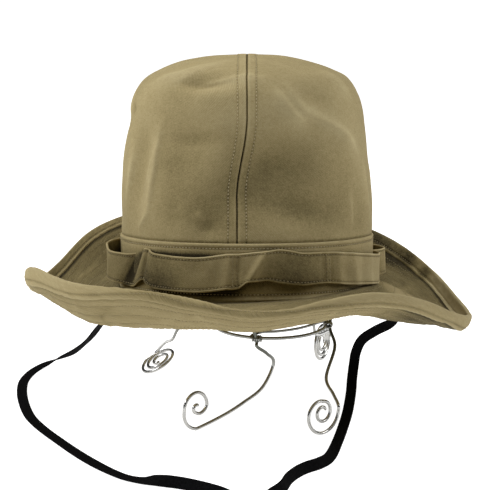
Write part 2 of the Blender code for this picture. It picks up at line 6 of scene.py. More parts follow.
import bmesh
import bpy
import numpy as np
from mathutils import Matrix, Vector


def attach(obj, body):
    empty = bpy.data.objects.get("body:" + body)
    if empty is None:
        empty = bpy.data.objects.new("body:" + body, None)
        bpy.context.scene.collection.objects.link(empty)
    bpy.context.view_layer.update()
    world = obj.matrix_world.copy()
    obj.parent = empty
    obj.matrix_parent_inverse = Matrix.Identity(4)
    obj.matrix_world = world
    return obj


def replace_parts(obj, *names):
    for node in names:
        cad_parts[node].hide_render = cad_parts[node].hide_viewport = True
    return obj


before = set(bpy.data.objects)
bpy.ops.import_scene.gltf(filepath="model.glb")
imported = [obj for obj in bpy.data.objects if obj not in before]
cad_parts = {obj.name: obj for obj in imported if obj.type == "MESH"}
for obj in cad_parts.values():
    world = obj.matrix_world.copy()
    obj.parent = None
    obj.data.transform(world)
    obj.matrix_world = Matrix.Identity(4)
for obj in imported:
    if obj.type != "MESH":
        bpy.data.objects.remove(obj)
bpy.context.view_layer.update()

# A millimetre, for the tables in millimetres
MM = 0.001

# Sizes of the hat, as the solids have them
CROWN_WIDTH = 0.181
CROWN_LENGTH = 0.199
CROWN_HEIGHT = 0.166
CROWN_WALL = 0.0015
DENT_DEPTH = 0.009
BAND_HEIGHT = 0.038
BAND_WALL = 0.0022
BAND_PROUD = 0.0007
STRIP_WIDTH = 0.023
STRIP_WALL = 0.0012
STRIP_RISE = 0.0215
LOOP_SLACK = 0.0105
BRIM_WIDTH = 0.073
BRIM_WALL = 0.0022
HEM_WIDTH = 0.012
HEM_WALL = 0.0032
STRAP_WIDTH = 0.0075
STRAP_THICKNESS = 0.0012
PIECE_GAP = 0.0003

# How the hat sits
HAT_RISE = 0.090
HAT_SHIFT = 0.0006
HAT_TILT = math.radians(6.7)

# Sizes of the wire stand
WIRE_DIAMETER = 0.0024
RING_RADIUS = 0.041
RING_HEIGHT = 0.060
RING_MIDDLE_X = 0.017
FOOT_REACH = 0.105
SCROLL_RADIUS = 0.0148
CAGE_RADIUS = 0.068

# The squareness of the head opening: 2 is an ellipse
PLAN_POWER = 2.2

# The crown from its foot to its top: height and radius, as shares of the crown's height and half width
CROWN_PROFILE = (
    # height, radius
    (0.000, 1.000),
    (0.220, 1.000),
    (0.330, 0.995),
    (0.470, 0.972),
    (0.570, 0.955),
    (0.675, 0.937),
    (0.770, 0.918),
    (0.840, 0.880),
    (0.895, 0.806),
    (0.935, 0.680),
    (0.964, 0.540),
    (0.985, 0.360),
    (0.996, 0.180),
    (1.000, 0.000),
)

# Wide dents of the crown: place and spread round it in degrees, place and spread up its profile as
# shares of the profile, and depth as a share of the dent depth. A negative depth is a ridge.
CROWN_DENTS = (
    # azimuth, spread, profile, profile_spread, depth
    (-75.0, 14.0, 0.373, 0.100, 1.00),
    (-53.0, 8.0, 0.276, 0.060, 0.45),
    (-60.0, 8.0, 0.526, 0.030, 0.50),
    (-43.0, 6.0, 0.460, 0.040, -0.30),
    (-110.0, 10.0, 0.645, 0.022, 0.70),
    (-120.0, 15.0, 0.470, 0.040, 0.35),
    (-144.0, 4.5, 0.350, 0.100, 0.40),
    (-156.0, 5.0, 0.380, 0.080, -0.20),
    (-178.0, 10.0, 0.540, 0.030, 0.35),
    (-37.0, 5.0, 0.250, 0.060, 0.30),
    (20.0, 14.0, 0.340, 0.120, 0.50),
    (72.0, 16.0, 0.400, 0.100, 0.60),
    (128.0, 13.0, 0.320, 0.110, 0.55),
    (100.0, 20.0, 0.620, 0.040, 0.50),
)
DENTS_ABOVE, DENTS_BELOW = 0.16, 0.90
# Near the top, where the crown's dents end and from where its outward direction stays the same
CROWN_DENTED_TO = 0.995
CROWN_STEADY_FROM = 0.99

# How far the front seam strays to the wearer's right, down the profile
SEAM_SWAY = math.radians(3.8)
SWAY_FROM, SWAY_TO = 0.54, 0.30

# Folds and creases of the crown: height in millimetres, how fast it falls off on the left and on the
# right of its line, and the line as azimuths and shares of the profile. A negative height is a furrow.
CROWN_FOLDS = (
    # height, left_width, right_width, line
    (1.9, 2.8, 9.8, ((-123, 0.628), (-106, 0.656), (-90, 0.663), (-75, 0.650))),
    (1.6, 3.5, 7.0, ((-150, 0.612), (-132, 0.669), (-122, 0.700), (-108, 0.770))),
    (1.0, 5.6, 4.2, ((-140, 0.594), (-122, 0.668), (-109, 0.738), (-100, 0.840))),
    (2.7, 5.0, 6.2, (
        (-78, 0.680), (-71, 0.606), (-66, 0.562), (-58, 0.538), (-47, 0.494), (-40, 0.450), (-28, 0.395),
    )),
    (2.1, 2.8, 7.0, ((-81, 0.640), (-76, 0.600), (-72, 0.562), (-67, 0.531), (-60, 0.500))),
    (1.1, 7.0, 7.0, ((-46, 0.735), (-41, 0.660), (-37, 0.600), (-33, 0.550))),
    (2.0, 2.5, 6.3, (
        (-128, 0.545), (-131, 0.469), (-130, 0.400), (-131, 0.319), (-133, 0.244), (-137, 0.190),
    )),
    (1.7, 3.6, 4.2, ((-150, 0.470), (-151, 0.356), (-152, 0.294), (-154, 0.215))),
    (1.1, 2.5, 2.5, ((-130, 0.262), (-135, 0.225), (-141, 0.188))),
    (1.0, 2.5, 3.1, ((-131, 0.438), (-133, 0.388), (-136, 0.320))),
    (2.4, 12.0, 12.0, ((-196, 0.500), (-180, 0.532), (-170, 0.560), (-156, 0.590))),
    (-1.4, 6.0, 6.0, ((-14, 0.680), (-4, 0.620), (4, 0.570))),
    (1.0, 6.0, 6.0, ((-8, 0.400), (-3, 0.320), (-3, 0.230), (-6, 0.170))),
    (1.4, 3.6, 4.2, ((-39, 0.330), (-37, 0.255), (-38, 0.180))),
    (1.6, 4.2, 4.9, ((-27, 0.420), (-24, 0.340), (-22, 0.240), (-22, 0.180))),
    (1.2, 3.5, 3.5, ((-12, 0.440), (-8, 0.360), (-6, 0.280), (-8, 0.200))),
    (1.0, 4.2, 4.2, ((-109, 0.262), (-104, 0.236), (-100, 0.205))),
    (-1.6, 4.2, 4.2, ((-166, 0.590), (-158, 0.560), (-150, 0.552))),
    (1.6, 4.2, 5.6, ((-172, 0.520), (-170, 0.400), (-173, 0.300), (-170, 0.200))),
    (1.4, 4.2, 5.6, ((14, 0.460), (10, 0.380), (12, 0.290), (8, 0.190))),
    (2.0, 5.6, 7.0, ((30, 0.560), (34, 0.440), (31, 0.330), (36, 0.230))),
    (-1.6, 8.4, 5.6, ((40, 0.620), (54, 0.570), (68, 0.560))),
    (1.6, 5.6, 8.4, ((52, 0.660), (66, 0.620), (80, 0.625), (92, 0.640))),
    (1.7, 4.2, 5.6, ((62, 0.420), (60, 0.330), (64, 0.240), (61, 0.180))),
    (-1.7, 11.2, 11.2, ((76, 0.440), (88, 0.380), (98, 0.350))),
    (1.9, 7.0, 5.6, ((98, 0.560), (110, 0.500), (118, 0.420), (130, 0.360))),
    (1.6, 4.2, 5.6, ((138, 0.400), (136, 0.300), (140, 0.190))),
    (1.4, 4.2, 4.2, ((158, 0.470), (156, 0.350), (160, 0.250), (157, 0.190))),
    (1.2, 7.0, 5.6, ((100, 0.790), (118, 0.720), (136, 0.660), (158, 0.620))),
    (1.1, 7.0, 7.0, ((-20, 0.780), (4, 0.690), (22, 0.640), (40, 0.640))),
)

# Soft hollows of the crown's front, between its folds
CROWN_HOLLOWS = (
    # azimuth, azimuth_spread, share, share_spread, depth in millimetres
    (-68.0, 11.0, 0.345, 0.055, 2.4),
    (-76.0, 8.0, 0.405, 0.030, 1.0),
    (-74.0, 7.0, 0.275, 0.030, 1.1),
    (-90.0, 14.0, 0.505, 0.040, -1.0),
    (-44.0, 7.0, 0.290, 0.030, 1.0),
    (-118.0, 8.0, 0.405, 0.030, 1.2),
    (-68.0, 20.0, 0.530, 0.045, -1.1),
    (-80.0, 4.0, 0.350, 0.060, 1.2),
    (-56.0, 13.0, 0.248, 0.034, 2.8),
    (-38.0, 8.0, 0.200, 0.030, 1.2),
    (-101.0, 6.0, 0.255, 0.065, 2.8),
    (-93.0, 4.0, 0.310, 0.060, 2.2),
    (-86.0, 4.0, 0.330, 0.050, 1.8),
    (-64.0, 7.0, 0.262, 0.028, 1.4),
    (-106.0, 4.0, 0.240, 0.030, 1.4),
    (-141.0, 4.0, 0.430, 0.080, 1.2),
    (-101.5, 3.0, 0.214, 0.022, 2.2),
    (-112.0, 9.0, 0.468, 0.015, 2.0),
    (-116.0, 9.0, 0.350, 0.070, 2.2),
    (-120.0, 8.0, 0.240, 0.040, 1.4),
    (-110.0, 7.0, 0.640, 0.012, 0.9),
    (-60.0, 6.0, 0.590, 0.014, 0.9),
)

# The loop strip: where each loop starts (its tack), how far it stands out as a share of the slack,
# where along the loop it stands out most, and how far it sags as a share of the strip's width
STRIP_LOOPS = (
    # azimuth, stand_out, peak, sag
    (-94.0, 0.14, 0.50, 0.03),
    (-53.0, 0.30, 0.66, 0.03),
    (8.0, 1.30, 0.30, -0.05),
    (40.0, 0.32, 0.50, 0.10),
    (86.0, 0.30, 0.50, 0.08),
    (130.0, 0.28, 0.50, 0.10),
    (170.0, 0.86, 0.55, 0.02),
    (220.0, 0.16, 0.50, 0.12),
)
LOOP_SHARPNESS = 1.3

# The brim's run from the crown to its edge, by azimuth, as shares of the brim's width
BRIM_STATIONS = (
    # azimuth, middle_reach, middle_rise, hem_reach, hem_rise, edge_reach, edge_rise
    (0.0, 0.45, -0.16, 0.84, -0.35, 0.97, -0.26),
    (14.0, 0.45, -0.12, 0.84, -0.285, 0.96, -0.18),
    (27.0, 0.45, -0.04, 0.82, -0.09, 0.94, 0.00),
    (39.0, 0.44, 0.04, 0.77, 0.11, 0.88, 0.22),
    (52.0, 0.42, 0.12, 0.71, 0.29, 0.82, 0.41),
    (68.0, 0.40, 0.16, 0.67, 0.40, 0.77, 0.51),
    (90.0, 0.40, 0.18, 0.66, 0.43, 0.76, 0.54),
    (112.0, 0.40, 0.19, 0.67, 0.47, 0.77, 0.58),
    (128.0, 0.42, 0.18, 0.71, 0.48, 0.81, 0.57),
    (142.0, 0.44, 0.11, 0.75, 0.33, 0.85, 0.42),
    (156.0, 0.45, -0.02, 0.80, 0.05, 0.91, 0.125),
    (170.0, 0.46, -0.11, 0.84, -0.12, 0.94, 0.00),
    (184.0, 0.48, -0.15, 0.88, 0.00, 0.95, 0.16),
    (204.0, 0.48, -0.18, 0.86, 0.10, 0.90, 0.26),
    (224.0, 0.48, -0.20, 0.80, 0.05, 0.84, 0.215),
    (245.0, 0.47, -0.18, 0.80, 0.11, 0.81, 0.185),
    (258.0, 0.47, -0.165, 0.80, 0.05, 0.82, 0.12),
    (270.0, 0.48, -0.18, 0.82, -0.02, 0.83, 0.03),
    (279.0, 0.47, -0.15, 0.82, -0.01, 0.83, 0.045),
    (288.0, 0.44, -0.115, 0.80, 0.03, 0.83, 0.115),
    (301.0, 0.42, -0.065, 0.78, 0.04, 0.84, 0.145),
    (314.0, 0.44, -0.135, 0.80, -0.05, 0.87, 0.05),
    (328.0, 0.46, -0.22, 0.82, -0.20, 0.92, -0.12),
    (344.0, 0.45, -0.20, 0.84, -0.35, 0.96, -0.25),
)

# Wrinkles of the brim: height in millimetres, fall-off to the left and right, and the line as azimuths
# and shares of the brim's run
BRIM_FOLDS = (
    # height, left_width, right_width, line
    (0.9, 3.5, 5.0, ((-8, 0.18), (6, 0.30), (19, 0.47), (26, 0.70))),
    (0.7, 3.0, 4.5, ((-10, 0.28), (2, 0.36), (13, 0.50))),
    (-0.8, 4.0, 4.0, ((28, 0.50), (12, 0.42), (0, 0.43))),
    (0.8, 2.5, 4.0, ((169, 0.32), (159, 0.28), (146, 0.30), (136, 0.40))),
    (0.7, 2.5, 4.0, ((162, 0.66), (153, 0.57), (145, 0.53))),
    (-0.8, 3.0, 3.0, ((40, 0.70), (48, 0.52), (60, 0.44))),
    (0.9, 3.0, 4.0, ((80, 0.30), (92, 0.50), (100, 0.72))),
    (-0.7, 3.0, 3.0, ((112, 0.30), (120, 0.55), (124, 0.80))),
    (0.8, 3.0, 3.0, ((188, 0.25), (200, 0.45), (214, 0.60))),
    (-0.7, 2.5, 3.0, ((222, 0.50), (232, 0.66), (238, 0.86))),
    (0.6, 2.5, 3.0, ((240, 0.42), (251, 0.60), (256, 0.82))),
    (0.7, 3.0, 3.0, ((318, 0.36), (326, 0.56), (330, 0.80))),
    (-0.8, 2.5, 3.0, ((336, 0.42), (342, 0.62), (343, 0.84))),
    (-0.8, 1.6, 2.4, ((204, 0.50), (209, 0.66), (212, 0.86))),
    (0.8, 2.0, 1.6, ((214, 0.42), (218, 0.60), (224, 0.84))),
    (-0.7, 1.6, 2.0, ((226, 0.34), (229, 0.52), (231, 0.74))),
    (0.7, 1.6, 2.4, ((262, 0.50), (259, 0.66), (258, 0.84))),
    (0.7, 2.0, 2.4, ((286, 0.46), (290, 0.62), (291, 0.84))),
    (-0.8, 2.0, 2.4, ((303, 0.40), (307, 0.60), (307, 0.84))),
)

# The chin strap from the left side of the hat to the right one: x, y, z, and where its flat side faces
STRAP_ROUTE = (
    # x, y, z, face_azimuth, face_elevation
    (-0.0965, 0.0000, 0.0850, 180.0, 0.0),
    (-0.0965, 0.0000, 0.0780, 175.0, 2.0),
    (-0.0980, 0.0060, 0.0705, 152.0, 14.0),
    (-0.1035, 0.0235, 0.0600, 133.0, 22.0),
    (-0.1129, 0.0500, 0.0454, 131.0, 20.0),
    (-0.1228, 0.0680, 0.0300, 131.0, 20.0),
    (-0.1322, 0.0822, 0.0188, 129.0, 26.0),
    (-0.1405, 0.0905, 0.0112, 118.0, 45.0),
    (-0.1500, 0.0938, 0.0062, 100.0, 70.0),
    (-0.1590, 0.0918, 0.0030, 90.0, 85.0),
    (-0.1660, 0.0835, 0.0014, 90.0, 90.0),
    (-0.1706, 0.0690, 0.0010, 90.0, 90.0),
    (-0.1725, 0.0485, 0.0010, 90.0, 90.0),
    (-0.1706, 0.0255, 0.0010, 90.0, 90.0),
    (-0.1662, 0.0009, 0.0010, 90.0, 90.0),
    (-0.1595, -0.0249, 0.0010, 90.0, 90.0),
    (-0.1523, -0.0452, 0.0010, 90.0, 90.0),
    (-0.1406, -0.0690, 0.0010, 90.0, 90.0),
    (-0.1257, -0.0938, 0.0010, -90.0, 90.0),
    (-0.1109, -0.1174, 0.0012, -90.0, 85.0),
    (-0.0992, -0.1344, 0.0012, -90.0, 85.0),
    (-0.0889, -0.1473, 0.0010, -90.0, 90.0),
    (-0.0776, -0.1589, 0.0010, -90.0, 90.0),
    (-0.0670, -0.1655, 0.0016, -90.0, 80.0),
    (-0.0579, -0.1699, 0.0034, -95.0, 50.0),
    (-0.0469, -0.1742, 0.0040, -105.0, 20.0),
    (-0.0355, -0.1794, 0.0040, -110.0, 20.0),
    (-0.0191, -0.1881, 0.0034, -105.0, 45.0),
    (-0.0043, -0.1940, 0.0012, -90.0, 85.0),
    (0.0085, -0.1945, 0.0012, -85.0, 85.0),
    (0.0172, -0.1900, 0.0034, -75.0, 50.0),
    (0.0222, -0.1825, 0.0040, -60.0, 25.0),
    (0.0265, -0.1680, 0.0040, -50.0, 25.0),
    (0.0325, -0.1562, 0.0040, -50.0, 25.0),
    (0.0389, -0.1481, 0.0040, -60.0, 25.0),
    (0.0473, -0.1405, 0.0040, -65.0, 30.0),
    (0.0545, -0.1260, 0.0030, -60.0, 55.0),
    (0.0611, -0.0943, 0.0012, -70.0, 85.0),
    (0.0680, -0.0561, 0.0010, -90.0, 90.0),
    (0.0734, -0.0226, 0.0010, -90.0, 90.0),
    (0.0783, 0.0180, 0.0014, -90.0, 88.0),
    (0.0804, 0.0370, 0.0066, -90.0, 50.0),
    (0.0824, 0.0450, 0.0170, -90.0, 15.0),
    (0.0838, 0.0460, 0.0250, -88.0, 5.0),
    (0.0879, 0.0420, 0.0357, -85.0, 10.0),
    (0.0971, 0.0350, 0.0447, -85.0, 10.0),
    (0.1075, 0.0265, 0.0530, -80.0, 5.0),
    (0.1105, 0.0180, 0.0610, -60.0, 0.0),
    (0.1040, 0.0070, 0.0700, -25.0, 0.0),
    (0.0970, 0.0003, 0.0780, -5.0, 3.0),
    (0.0965, 0.0000, 0.0850, 0.0, 0.0),
)
STRAP_STEP = 0.0014

# The stand's four legs, with azimuths about the ring's middle and reaches as shares of the foot reach
LEGS = {
    # ring_azimuth, foot_azimuth, foot_reach, scroll_heading, scroll_lean, scroll_start
    "front": (-104.0, -129.0, 0.79, 43.0, 0.0, -80.0),
    "right": (-4.0, -64.4, 0.78, 40.0, 0.0, 10.0),
    "left": (158.0, 137.5, 1.12, 115.0, 58.0, -24.0),
    "back": (76.0, 68.2, 1.13, 64.0, 0.0, 20.0),
}
LEG_BENDS = {
    # azimuth, reach, height
    "front": (
        (-103.0, 0.42, 0.91),
        (-95.0, 0.32, 0.78),
        (-84.0, 0.20, 0.60),
        (-102.0, 0.27, 0.33),
        (-117.0, 0.42, 0.195),
        (-123.6, 0.58, 0.105),
    ),
    "right": (
        (-23.0, 0.48, 0.80),
        (-45.0, 0.53, 0.51),
        (-50.0, 0.65, 0.37),
    ),
    "left": (
        (151.0, 0.62, 0.90),
        (146.9, 0.785, 0.738),
        (141.3, 0.913, 0.525),
        (136.8, 1.058, 0.408),
        (134.3, 1.172, 0.285),
        (134.7, 1.220, 0.190),
    ),
    "back": (
        (68.0, 0.60, 0.90),
        (66.0, 0.80, 0.72),
        (67.0, 0.93, 0.45),
    ),
}
CAGE_BENDS = (
    # reach, height
    (0.80, 0.13),
    (0.95, 0.27),
    (1.00, 0.45),
    (0.97, 0.66),
    (0.84, 0.84),
    (0.55, 0.950),
    (0.25, 0.982),
)
# A second, thinner strand along the ring's front: azimuth, reach and height in metres
SECOND_STRAND = (
    (-112.0, 0.0392, 0.0606),
    (-100.0, 0.0384, 0.0636),
    (-82.0, 0.0378, 0.0642),
    (-62.0, 0.0376, 0.0648),
    (-42.0, 0.0378, 0.0652),
    (-26.0, 0.0384, 0.0650),
    (-10.0, 0.0394, 0.0634),
    (4.0, 0.0398, 0.0612),
)
JOINTS = (-104.0, -4.0)
BINDING_WIRE = 0.0013
BINDING_TURNS = 5
BINDING_LENGTH = 0.0070
# How each scroll winds inwards: turn, and reach as a share of the scroll's radius
SCROLLS = {
    "front": (
        (-90.0, 1.00),
        (-180.0, 0.76),
        (-270.0, 0.78),
        (-360.0, 0.64),
        (-405.0, 0.40),
        (-450.0, 0.22),
        (-540.0, 0.18),
        (-690.0, 0.16),
    ),
    "right": (
        (-90.0, 1.00),
        (-180.0, 0.90),
        (-270.0, 0.56),
        (-360.0, 0.46),
        (-450.0, 0.42),
        (-540.0, 0.36),
        (-630.0, 0.28),
        (-700.0, 0.18),
    ),
    "left": (
        (-90.0, 1.00),
        (-270.0, 0.82),
        (-450.0, 0.66),
        (-630.0, 0.48),
        (-810.0, 0.30),
        (-900.0, 0.20),
    ),
    "back": (
        (-90.0, 1.00),
        (-450.0, 0.76),
        (-810.0, 0.50),
        (-1130.0, 0.22),
    ),
}
SCROLL_STEP = 20.0
WIRE_STEP = 0.0009

# How finely the surfaces are read and the cloth is divided
NORMAL_STEP = 0.002
PROFILE_STEPS = 4000
CROWN_ROWS = 44
CROWN_STRIDE = 4
CROWN_FOOT_ROWS = (0.0, 0.0005, 0.0010, 0.0016, 0.0024)
PANEL_FIRST = 0.014
PANEL_STEP = 0.0142
BAND_AROUND = 720
BAND_ROWS = 78
STRIP_AROUND = 1080
STRIP_ROWS = 44
BRIM_AROUND = 760
BRIM_ROWS = 22
HEM_ROWS = 28
RING_AROUND = 180

# Sewing, rounded edges and the weave
STITCH_PITCH = 0.0024
STITCH_LENGTH = 0.0017
THREAD_RADIUS = 0.00034
STITCH_THIN = 0.35
STITCH_RISE = 0.3
STITCH_TIP_SINK = 0.7
STITCH_TWIST = 0.002
SEAM_STITCH = 0.0062
BRIM_STITCH_ROWS = 7
EDGE_STEPS = 6
EDGE_MARGIN = 1.05
TWILL_SCALE = 555.0
SEAM_DEPTH = 0.0016
SEAM_GROOVE = 0.0005
ALLOWANCE_RISE = 0.00035
PUCKER_DEPTH = 0.00028
PUCKER_LENGTH = 0.0095
SEAM_COLUMNS = (
    0.0, 0.0003, 0.0006, 0.0010, 0.0015, 0.0022, 0.0031, 0.0041, 0.0050, 0.0056, 0.0062, 0.0068, 0.0075,
    0.0085, 0.0098,
)
BAND_STITCH = 0.0034
BAND_FOOT_STITCH = 0.0040
STRIP_STITCH = 0.0021
HEM_STITCH = 0.0042
QUILT_DEPTH = 0.0003
QUILT_WIDTH = 0.0011
PULL_DEPTH = 0.0002
HEM_OVERLAP = 0.004
FOOT_TUCK = 0.0006
CROWN_TUCK = 0.0015
TACK_SPREAD = 0.75
TACKS = (-90.8, -55.2, 8.0, 40.0, 86.0, 130.0, 170.0)

# Where the hem starts along the brim's run, the run's length, and how proud the hem's faces are
HEM_START = 1.0 - HEM_WIDTH / BRIM_WIDTH
BRIM_RUN = BRIM_WIDTH * 0.95
HEM_RAISED = (HEM_WALL - BRIM_WALL) / 2 + 0.0002

# Folds: the step of their lines, how many widths away they end, how round their tops are and how fast they
# fall off as shares of the width, and how they taper along their lines
FOLD_STEP = 0.004
FOLD_REACH = 5.0
FOLD_ROUNDING = 0.35
FOLD_FALL = 0.62
FOLD_TAPER = (0.0, 0.4, 0.6, 1.0)

# Soft waves: how many make up a ripple, the spread of their lengths, and how high the ripple is
RIPPLE_WAVES = 14
RIPPLE_SPREAD = (0.7, 1.6)
RIPPLE_SHARE = 0.7
CROWN_WAVES = (
    # height, wavelength, seed
    (0.0007, 0.060, 11),
    (0.00022, 0.021, 12),
)
BAND_WAVES = (
    # height, wavelength, seed
    (0.00035, 0.030, 21),
    (0.00015, 0.012, 22),
)
STRIP_WAVES = (
    # height, wavelength, seed
    (0.0003, 0.016, 31),
)
BRIM_WAVES = (
    # height, wavelength, seed
    (0.0007, 0.050, 41),
    (0.00028, 0.018, 42),
)

# Welts and sewn furrows across the band, the strip and the hem
BAND_RELIEF = (
    # height, place, width
    (0.0004, BAND_HEIGHT - 0.0009, 0.0011),
    (-0.0004, BAND_HEIGHT - BAND_STITCH, 0.0007),
    (0.0008, 0.0008, 0.0011),
    (-0.0003, BAND_FOOT_STITCH, 0.0007),
)
STRIP_RELIEF = (
    # height, place, width
    (0.00035, 0.0006, 0.0008),
    (-0.00025, STRIP_STITCH, 0.0006),
)
HEM_RELIEF_ABOVE = (
    # height, place, width
    (0.0006, 0.0012, 0.0009),
    (-0.0004, HEM_STITCH, 0.0008),
)
HEM_RELIEF_BELOW = (
    # height, place, width
    (0.0002, 0.0012, 0.0011),
    (-0.0003, HEM_STITCH, 0.0008),
)

# Paler and darker lines across the cloth: beside the crown's seam, and on the band, the strip and the hem.
# The hem's paler edge is partly wear and partly a painted highlight
SEAM_TONES = (
    # wear, place, width
    (0.5, 0.0014, 0.0008),
    (-1.2, SEAM_STITCH, 0.0006),
    (-2.4, 0.0, 0.0005),
)
BAND_TONES = (
    # wear, place, width
    (0.25, BAND_HEIGHT - 0.0008, 0.0012),
    (0.8, 0.0012, 0.0012),
    (-1.6, BAND_HEIGHT - BAND_STITCH, 0.0006),
    (-1.6, BAND_FOOT_STITCH, 0.0006),
)
STRIP_TONES = (
    # wear, place, width
    (1.1, 0.0005, 0.0008),
    (-1.3, STRIP_STITCH, 0.0006),
)
HEM_TONES = (
    # wear, place, width
    (-1.0, HEM_STITCH, 0.0007),
    # Paler at the rolled edge: partly wear, partly a painted highlight
    (0.7, (1.0 - HEM_START) * BRIM_RUN, 0.0018),
)

# The lift at which a fold's crest is painted quite pale, partly as wear and partly as a painted highlight,
# and its furrow dark with painted shade; the limits of that tone and of all wear and painted light and
# shade; the painted shade at the crown's foot, in its dents and in its hollows; and how deep a fold of the
# strip is, in millimetres, before it is darkened with painted shade
FOLD_TONE_LIFT = 0.0016
FOLD_TONE_LIMITS = (-1.2, 1.0)
WEAR_AND_SHADING_LIMITS = (-3.2, 1.8)
FOOT_PAINTED_SHADOW = -1.8
DENT_PAINTED_SHADE = -0.4
HOLLOW_PAINTED_SHADE = -0.28
DEEP_FOLD = 1.5

# Parts of the brim painted paler or darker as painted light and shade, by azimuth from -180 to 180
# degrees: each begins, is full, is still full and ends
BRIM_FRONT = (-170.0, -140.0, -50.0, -20.0)
BRIM_DROOP = (-60.0, -42.0, -16.0, -4.0)
BRIM_BACK_RIGHT = (16.0, 44.0, 60.0, 90.0)

# How the loop strip's two edges rise and fall, and how far its lower edge flares, in millimetres, and how
# dark it lies in the brim's shadow, by azimuth
STRIP_EDGES = (
    # azimuth, lower_rise, upper_rise, flare, shade
    (0.0, -6.0, -8.6, 0.0, 0.0),
    (10.0, -5.6, -9.6, 0.0, -0.3),
    (28.0, -4.0, -8.8, 0.2, -0.3),
    (45.0, -1.5, -3.6, 0.5, -0.3),
    (62.0, 0.0, 0.0, 0.5, -0.3),
    (120.0, 0.0, 0.0, 0.5, -0.3),
    (170.0, 0.0, 0.0, 0.0, -0.3),
    (194.0, 0.0, -0.5, 0.0, -0.4),
    (202.0, -3.0, -4.4, 0.0, -0.8),
    (205.0, -3.6, -4.8, 0.2, -0.9),
    (211.0, -4.4, -5.2, 0.4, -1.2),
    (215.0, -5.3, -5.4, 0.6, -1.4),
    (219.0, -5.2, -4.8, 0.8, -1.4),
    (222.5, -2.0, -3.0, 1.0, -1.2),
    (227.0, 1.8, 0.8, 1.5, -1.6),
    (230.0, 1.0, 1.4, 2.0, -2.0),
    (235.0, -1.2, -0.4, 2.6, -1.8),
    (241.0, -1.4, -0.8, 3.0, -1.9),
    (248.0, -1.9, -1.5, 3.3, -1.3),
    (256.0, -2.7, -2.3, 3.4, -0.5),
    (265.0, -2.3, -1.6, 3.0, -0.2),
    (270.5, -1.3, -1.1, 2.4, -0.5),
    (273.5, 2.6, -0.6, 1.8, -0.5),
    (277.5, 3.6, 0.4, 1.6, -0.1),
    (281.0, 4.2, 1.0, 1.4, -0.9),
    (285.5, 2.5, 2.2, 1.2, -1.3),
    (290.0, 1.2, 1.2, 1.2, -1.7),
    (294.0, 0.5, -0.6, 1.2, -1.7),
    (303.0, 0.4, -1.3, 1.0, -1.2),
    (314.0, -1.8, -2.6, 1.2, 0.1),
    (330.0, -4.1, -5.4, 0.6, 0.9),
    (345.0, -6.5, -8.0, 0.3, 0.7),
    (352.0, -6.5, -8.0, 0.0, 0.3),
)

# Upright folds of the loop strip: azimuth, how far its top leans on in degrees, width in degrees, and
# height in millimetres
STRIP_FOLDS = (
    # azimuth, lean, width, height
    (-160.0, 0.0, 3.0, 0.6),
    (-141.5, 10.0, 4.6, -2.8),
    (-131.0, 3.0, 1.2, -1.4),
    (-126.0, 2.0, 2.5, 0.9),
    (-112.0, 0.0, 6.0, 0.6),
    (-97.0, -2.0, 3.0, -0.6),
    (-93.5, 2.0, 1.8, 0.7),
    (-89.5, 0.0, 1.0, -0.8),
    (-82.3, 7.4, 1.9, 1.9),
    (-74.0, 6.0, 4.0, -1.5),
    (-64.0, 3.0, 4.0, 0.7),
    (-57.5, 0.0, 1.5, -0.8),
    (-54.0, 0.0, 0.9, -0.5),
    (-50.0, 0.0, 1.6, 0.6),
    (-46.0, 0.0, 2.0, -0.5),
    (-41.0, -1.0, 2.2, 0.9),
    (-35.0, 1.0, 2.0, -0.8),
    (-29.0, 0.0, 3.0, 0.9),
    (60.0, 3.0, 4.0, 0.8),
    (98.0, -3.0, 4.0, -0.8),
    (112.0, 2.0, 3.0, 0.8),
    (146.0, 2.0, 4.0, 0.8),
)

# How far the brim's foot is pushed up along the band, in millimetres, by azimuth
FOOT_RISES = (
    # azimuth, rise
    (0.0, 2.2),
    (20.0, 0.4),
    (60.0, 0.0),
    (140.0, 0.0),
    (195.0, 0.0),
    (225.0, -1.0),
    (258.0, -1.5),
    (277.0, -0.4),
    (292.0, 0.8),
    (307.0, 2.7),
    (318.0, 4.0),
    (326.0, 4.2),
    (342.0, 3.6),
)

# How far the hem's edge rolls over inwards, how far it drops again, and how full the hem is below, in
# millimetres, by azimuth
HEM_ROLLS = (
    # azimuth, inward, drop, fullness
    (0.0, 1.8, 0.6, 2.4),
    (9.0, 0.4, 0.2, 2.4),
    (18.0, -0.4, -1.0, 1.2),
    (35.0, -0.5, -1.8, -0.6),
    (60.0, 0.0, -0.8, -0.6),
    (90.0, 0.0, 0.0, 0.0),
    (160.0, 0.0, 0.0, 0.2),
    (176.0, 2.6, -0.6, 0.3),
    (190.0, 3.8, 0.8, 0.4),
    (202.0, 3.6, 2.2, 0.7),
    (215.0, 3.4, 3.2, 0.8),
    (240.0, 3.0, 5.0, 0.6),
    (251.0, 3.0, 6.4, 0.5),
    (262.0, 3.0, 5.2, 0.6),
    (280.0, 3.0, 3.8, 0.6),
    (292.0, 3.0, 3.0, 0.6),
    (303.0, 3.0, 1.4, 0.6),
    (325.0, 2.6, 0.2, 0.6),
    (345.0, 2.4, -1.2, 1.0),
)
# How fast the hem rolls over towards its edge, and what its fullness takes from its reach and its height
HEM_ROLL_POWER = 2.5
HEM_FULL_WAY = (-0.6, 0.8)

